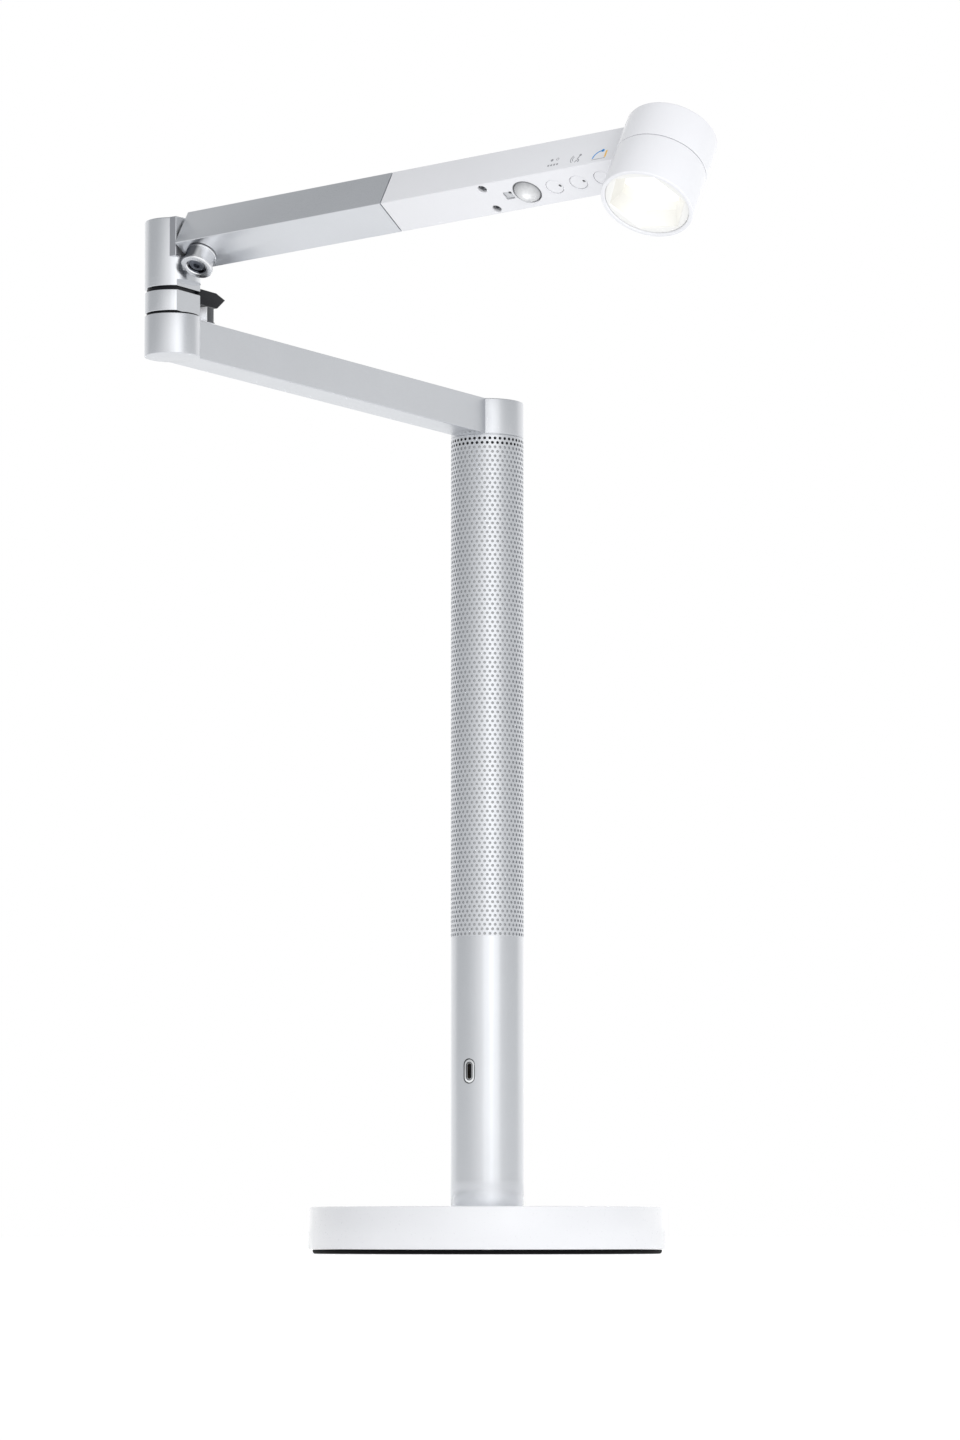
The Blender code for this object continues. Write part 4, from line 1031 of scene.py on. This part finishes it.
piece(refl, "hex_reflector", CONE_GLOW, "upper_arm", ROLL, ["reflector"], sharp=20.0)
plate = lathe([(0, -16.2), (INNER, -16.2), (INNER, -18.2, 0.2), (13.0, -18.2), (6.0, -18.12), (0, -18.05)], 144, 3, C)
piece(plate, "diffuser_plate", LENS_GLOW, "upper_arm", ROLL, ["front_lens"])

# ================================================================ finishes of the CAD nodes that stay
KEPT = {
    "base_plate": STEEL, "base_screw_1": STEEL, "base_screw_2": STEEL, "base_screw_3": STEEL, "base_weight": CAST,
    "power_board": BOARD, "stem_foot": ALU, "foot_screw_1": STEEL, "foot_screw_2": STEEL, "foot_screw_3": STEEL,
    "usb_board": BOARD, "light_pipe_seat": BLACK, "light_pipe": ACRYLIC, "diffuser_tube": TUBE_GLOW,
    "stem_bearing_sleeve": SLEEVE, "sleeve_circlip": STEEL, "pivot_bush": BUSH, "elbow_pin": STEEL, "elbow_nut": STEEL,
    "elbow_bush_lower": BUSH, "elbow_bush_upper": BUSH, "roll_spigot": STEEL, "spigot_circlip": STEEL,
    "roll_bearing": BUSH, "arm_joiner": BLACK, "control_board": BOARD, "heat_pipe": COPPER, "heat_sink": ALU,
    "led_board": BOARD, "led_array": CHIP_GLOW,
}
for name, mat in KEPT.items():
    obj = frame["nodes"][name]
    if not obj.material_slots:
        obj.data.materials.append(mat)
    for s in obj.material_slots:
        s.material = mat

# ================================================================ floor, world, light, camera
bm = bmesh.new()
steps = 64
hub = bm.verts.new((0, 0, -0.0002))
last = None
for r_ in (0.25, 0.6, 1.5, 4.0, 9.0):
    row = [bm.verts.new((r_ * math.cos(2 * math.pi * k / steps), r_ * math.sin(2 * math.pi * k / steps), -0.0002))
           for k in range(steps)]
    for k in range(steps):
        m = (k + 1) % steps
        if last is None:
            bm.faces.new((hub, row[k], row[m]))
        else:
            bm.faces.new((last[k], row[k], row[m], last[m]))
    last = row
floor_mesh = bpy.data.meshes.new("studio_floor")
bm.to_mesh(floor_mesh)
bm.free()
floor = bpy.data.objects.new("studio_floor", floor_mesh)
bpy.context.scene.collection.objects.link(floor)
G = Graph("pale_studio_floor")
G.colour(G.ramp(G.noise(3.0), [(0.3, (0.80, 0.80, 0.80)), (0.7, (0.82, 0.82, 0.82))]))
G.set(Emission_Color=(1.0, 1.0, 1.0, 1.0), Emission_Strength=0.45, Roughness=0.9, Specular_IOR_Level=0.1)
floor_mesh.materials.append(G.mat)

world = bpy.data.worlds.new("soft_studio")
bpy.context.scene.world = world
world.use_nodes = True
nt = world.node_tree
nt.nodes.clear()


def wn(kind, **values):
    n = nt.nodes.new(kind)
    for k, v in values.items():
        setattr(n, k, v)
    return n


def wmath(op, a, b=None):
    n = wn("ShaderNodeMath", operation=op)
    for i, v in enumerate((a, b)):
        if v is None:
            continue
        if isinstance(v, (int, float)):
            n.inputs[i].default_value = v
        else:
            nt.links.new(v, n.inputs[i])
    return n.outputs[0]


def wramp(value, a, b, lo, hi):
    n = wn("ShaderNodeMapRange", interpolation_type="SMOOTHSTEP")
    for key, v in (("From Min", a), ("From Max", b), ("To Min", lo), ("To Max", hi)):
        n.inputs[key].default_value = v
    nt.links.new(value, n.inputs["Value"])
    return n.outputs["Result"]


tc = wn("ShaderNodeTexCoord")
sep = wn("ShaderNodeSeparateXYZ")
nt.links.new(tc.outputs["Generated"], sep.inputs["Vector"])
X, Y, Z = sep.outputs["X"], sep.outputs["Y"], sep.outputs["Z"]
front = wmath("POWER", wmath("MAXIMUM", wmath("MULTIPLY", Y, -1.0), 0.0), 3.4)
back = wmath("POWER", wmath("MAXIMUM", Y, 0.0), 3.0)
edge = wramp(Y, 0.30, 0.52, 0.0, 1.0)
level = wmath("ADD", wmath("ADD", wmath("MULTIPLY", front, 0.55), wmath("MULTIPLY", back, 0.35)),
              wmath("ADD", wmath("MULTIPLY", edge, 0.24), wramp(X, -0.6, 0.75, 0.63, 0.74)))
high = wramp(Z, 0.15, 0.95, 0.0, 1.0)
mix = wmath("ADD", wmath("MULTIPLY", level, wmath("SUBTRACT", 1.0, high)), wmath("MULTIPLY", high, 0.56))
tint = wn("ShaderNodeValToRGB")
tint.color_ramp.elements[0].position = 0.45
tint.color_ramp.elements[0].color = (0.955, 0.978, 1.0, 1.0)
tint.color_ramp.elements[1].position = 1.0
tint.color_ramp.elements[1].color = (1.0, 1.0, 1.0, 1.0)
nt.links.new(mix, tint.inputs["Fac"])
bg = wn("ShaderNodeBackground")
nt.links.new(tint.outputs["Color"], bg.inputs["Color"])
nt.links.new(mix, bg.inputs["Strength"])
plain_bg = wn("ShaderNodeBackground")
plain_bg.inputs["Color"].default_value = (1, 1, 1, 1)
plain_bg.inputs["Strength"].default_value = 1.0
path = wn("ShaderNodeLightPath")
choose = wn("ShaderNodeMixShader")
nt.links.new(path.outputs["Is Camera Ray"], choose.inputs["Fac"])
nt.links.new(bg.outputs["Background"], choose.inputs[1])
nt.links.new(plain_bg.outputs["Background"], choose.inputs[2])
out = wn("ShaderNodeOutputWorld")
nt.links.new(choose.outputs["Shader"], out.inputs["Surface"])



def softbox(name, place, target, size, power, colour=(1.0, 1.0, 1.0)):
    data = bpy.data.lights.new(name, "AREA")
    data.shape = "RECTANGLE"
    data.size, data.size_y = size
    data.energy = power
    data.color = colour
    obj = bpy.data.objects.new(name, data)
    obj.location = place
    obj.rotation_euler = (Vector(target) - Vector(place)).to_track_quat("-Z", "Y").to_euler()
    obj.visible_camera = False
    bpy.context.scene.collection.objects.link(obj)
    return obj


softbox("front_strip", (0.04, -0.85, 0.30), (0.0, 0.0, 0.28), (0.46, 1.0), 0.37)
overhead = softbox("overhead_box", (0.0, -0.2, 1.7), (0.0, 0.0, 0.0), (1.0, 1.0), 2.0)
overhead.visible_glossy = False
low_box = softbox("base_top_box", (0.0, 0.0, 0.40), (0.0, 0.0, 0.0), (0.11, 0.11), 0.10)
low_box.data.spread = math.radians(18)
low_box.visible_glossy = False
key_data = bpy.data.lights.new("front_right_key", "SUN")
key_data.energy = 0.76
key_data.angle = math.radians(24)
key = bpy.data.objects.new("front_right_key", key_data)
key.rotation_euler = Vector((-0.47, 0.86, -0.16)).to_track_quat("-Z", "Y").to_euler()
key.visible_glossy = False
bpy.context.scene.collection.objects.link(key)
softbox("front_right_box", (0.62, -1.45, 0.55), (0.0, -0.1, 0.22), (0.9, 1.1), 1.15)

cam_data = bpy.data.cameras.new("camera")
cam_data.sensor_fit = "AUTO"
cam_data.sensor_width = 36.0
cam_data.lens = 121.764
cam_data.shift_y = 0.1398
cam_data.clip_start = 0.05
cam_data.clip_end = 60.0
camera = bpy.data.objects.new("camera", cam_data)
camera.location = (-0.0037754, -2.53385, 0.0110737)
camera.rotation_euler = (math.radians(90 + 3.65108), 0, 0)
bpy.context.scene.collection.objects.link(camera)
bpy.context.scene.camera = camera
bpy.context.scene.view_settings.view_transform = "Standard"
bpy.context.scene.view_settings.look = "None"


bpy.context.view_layer.update()
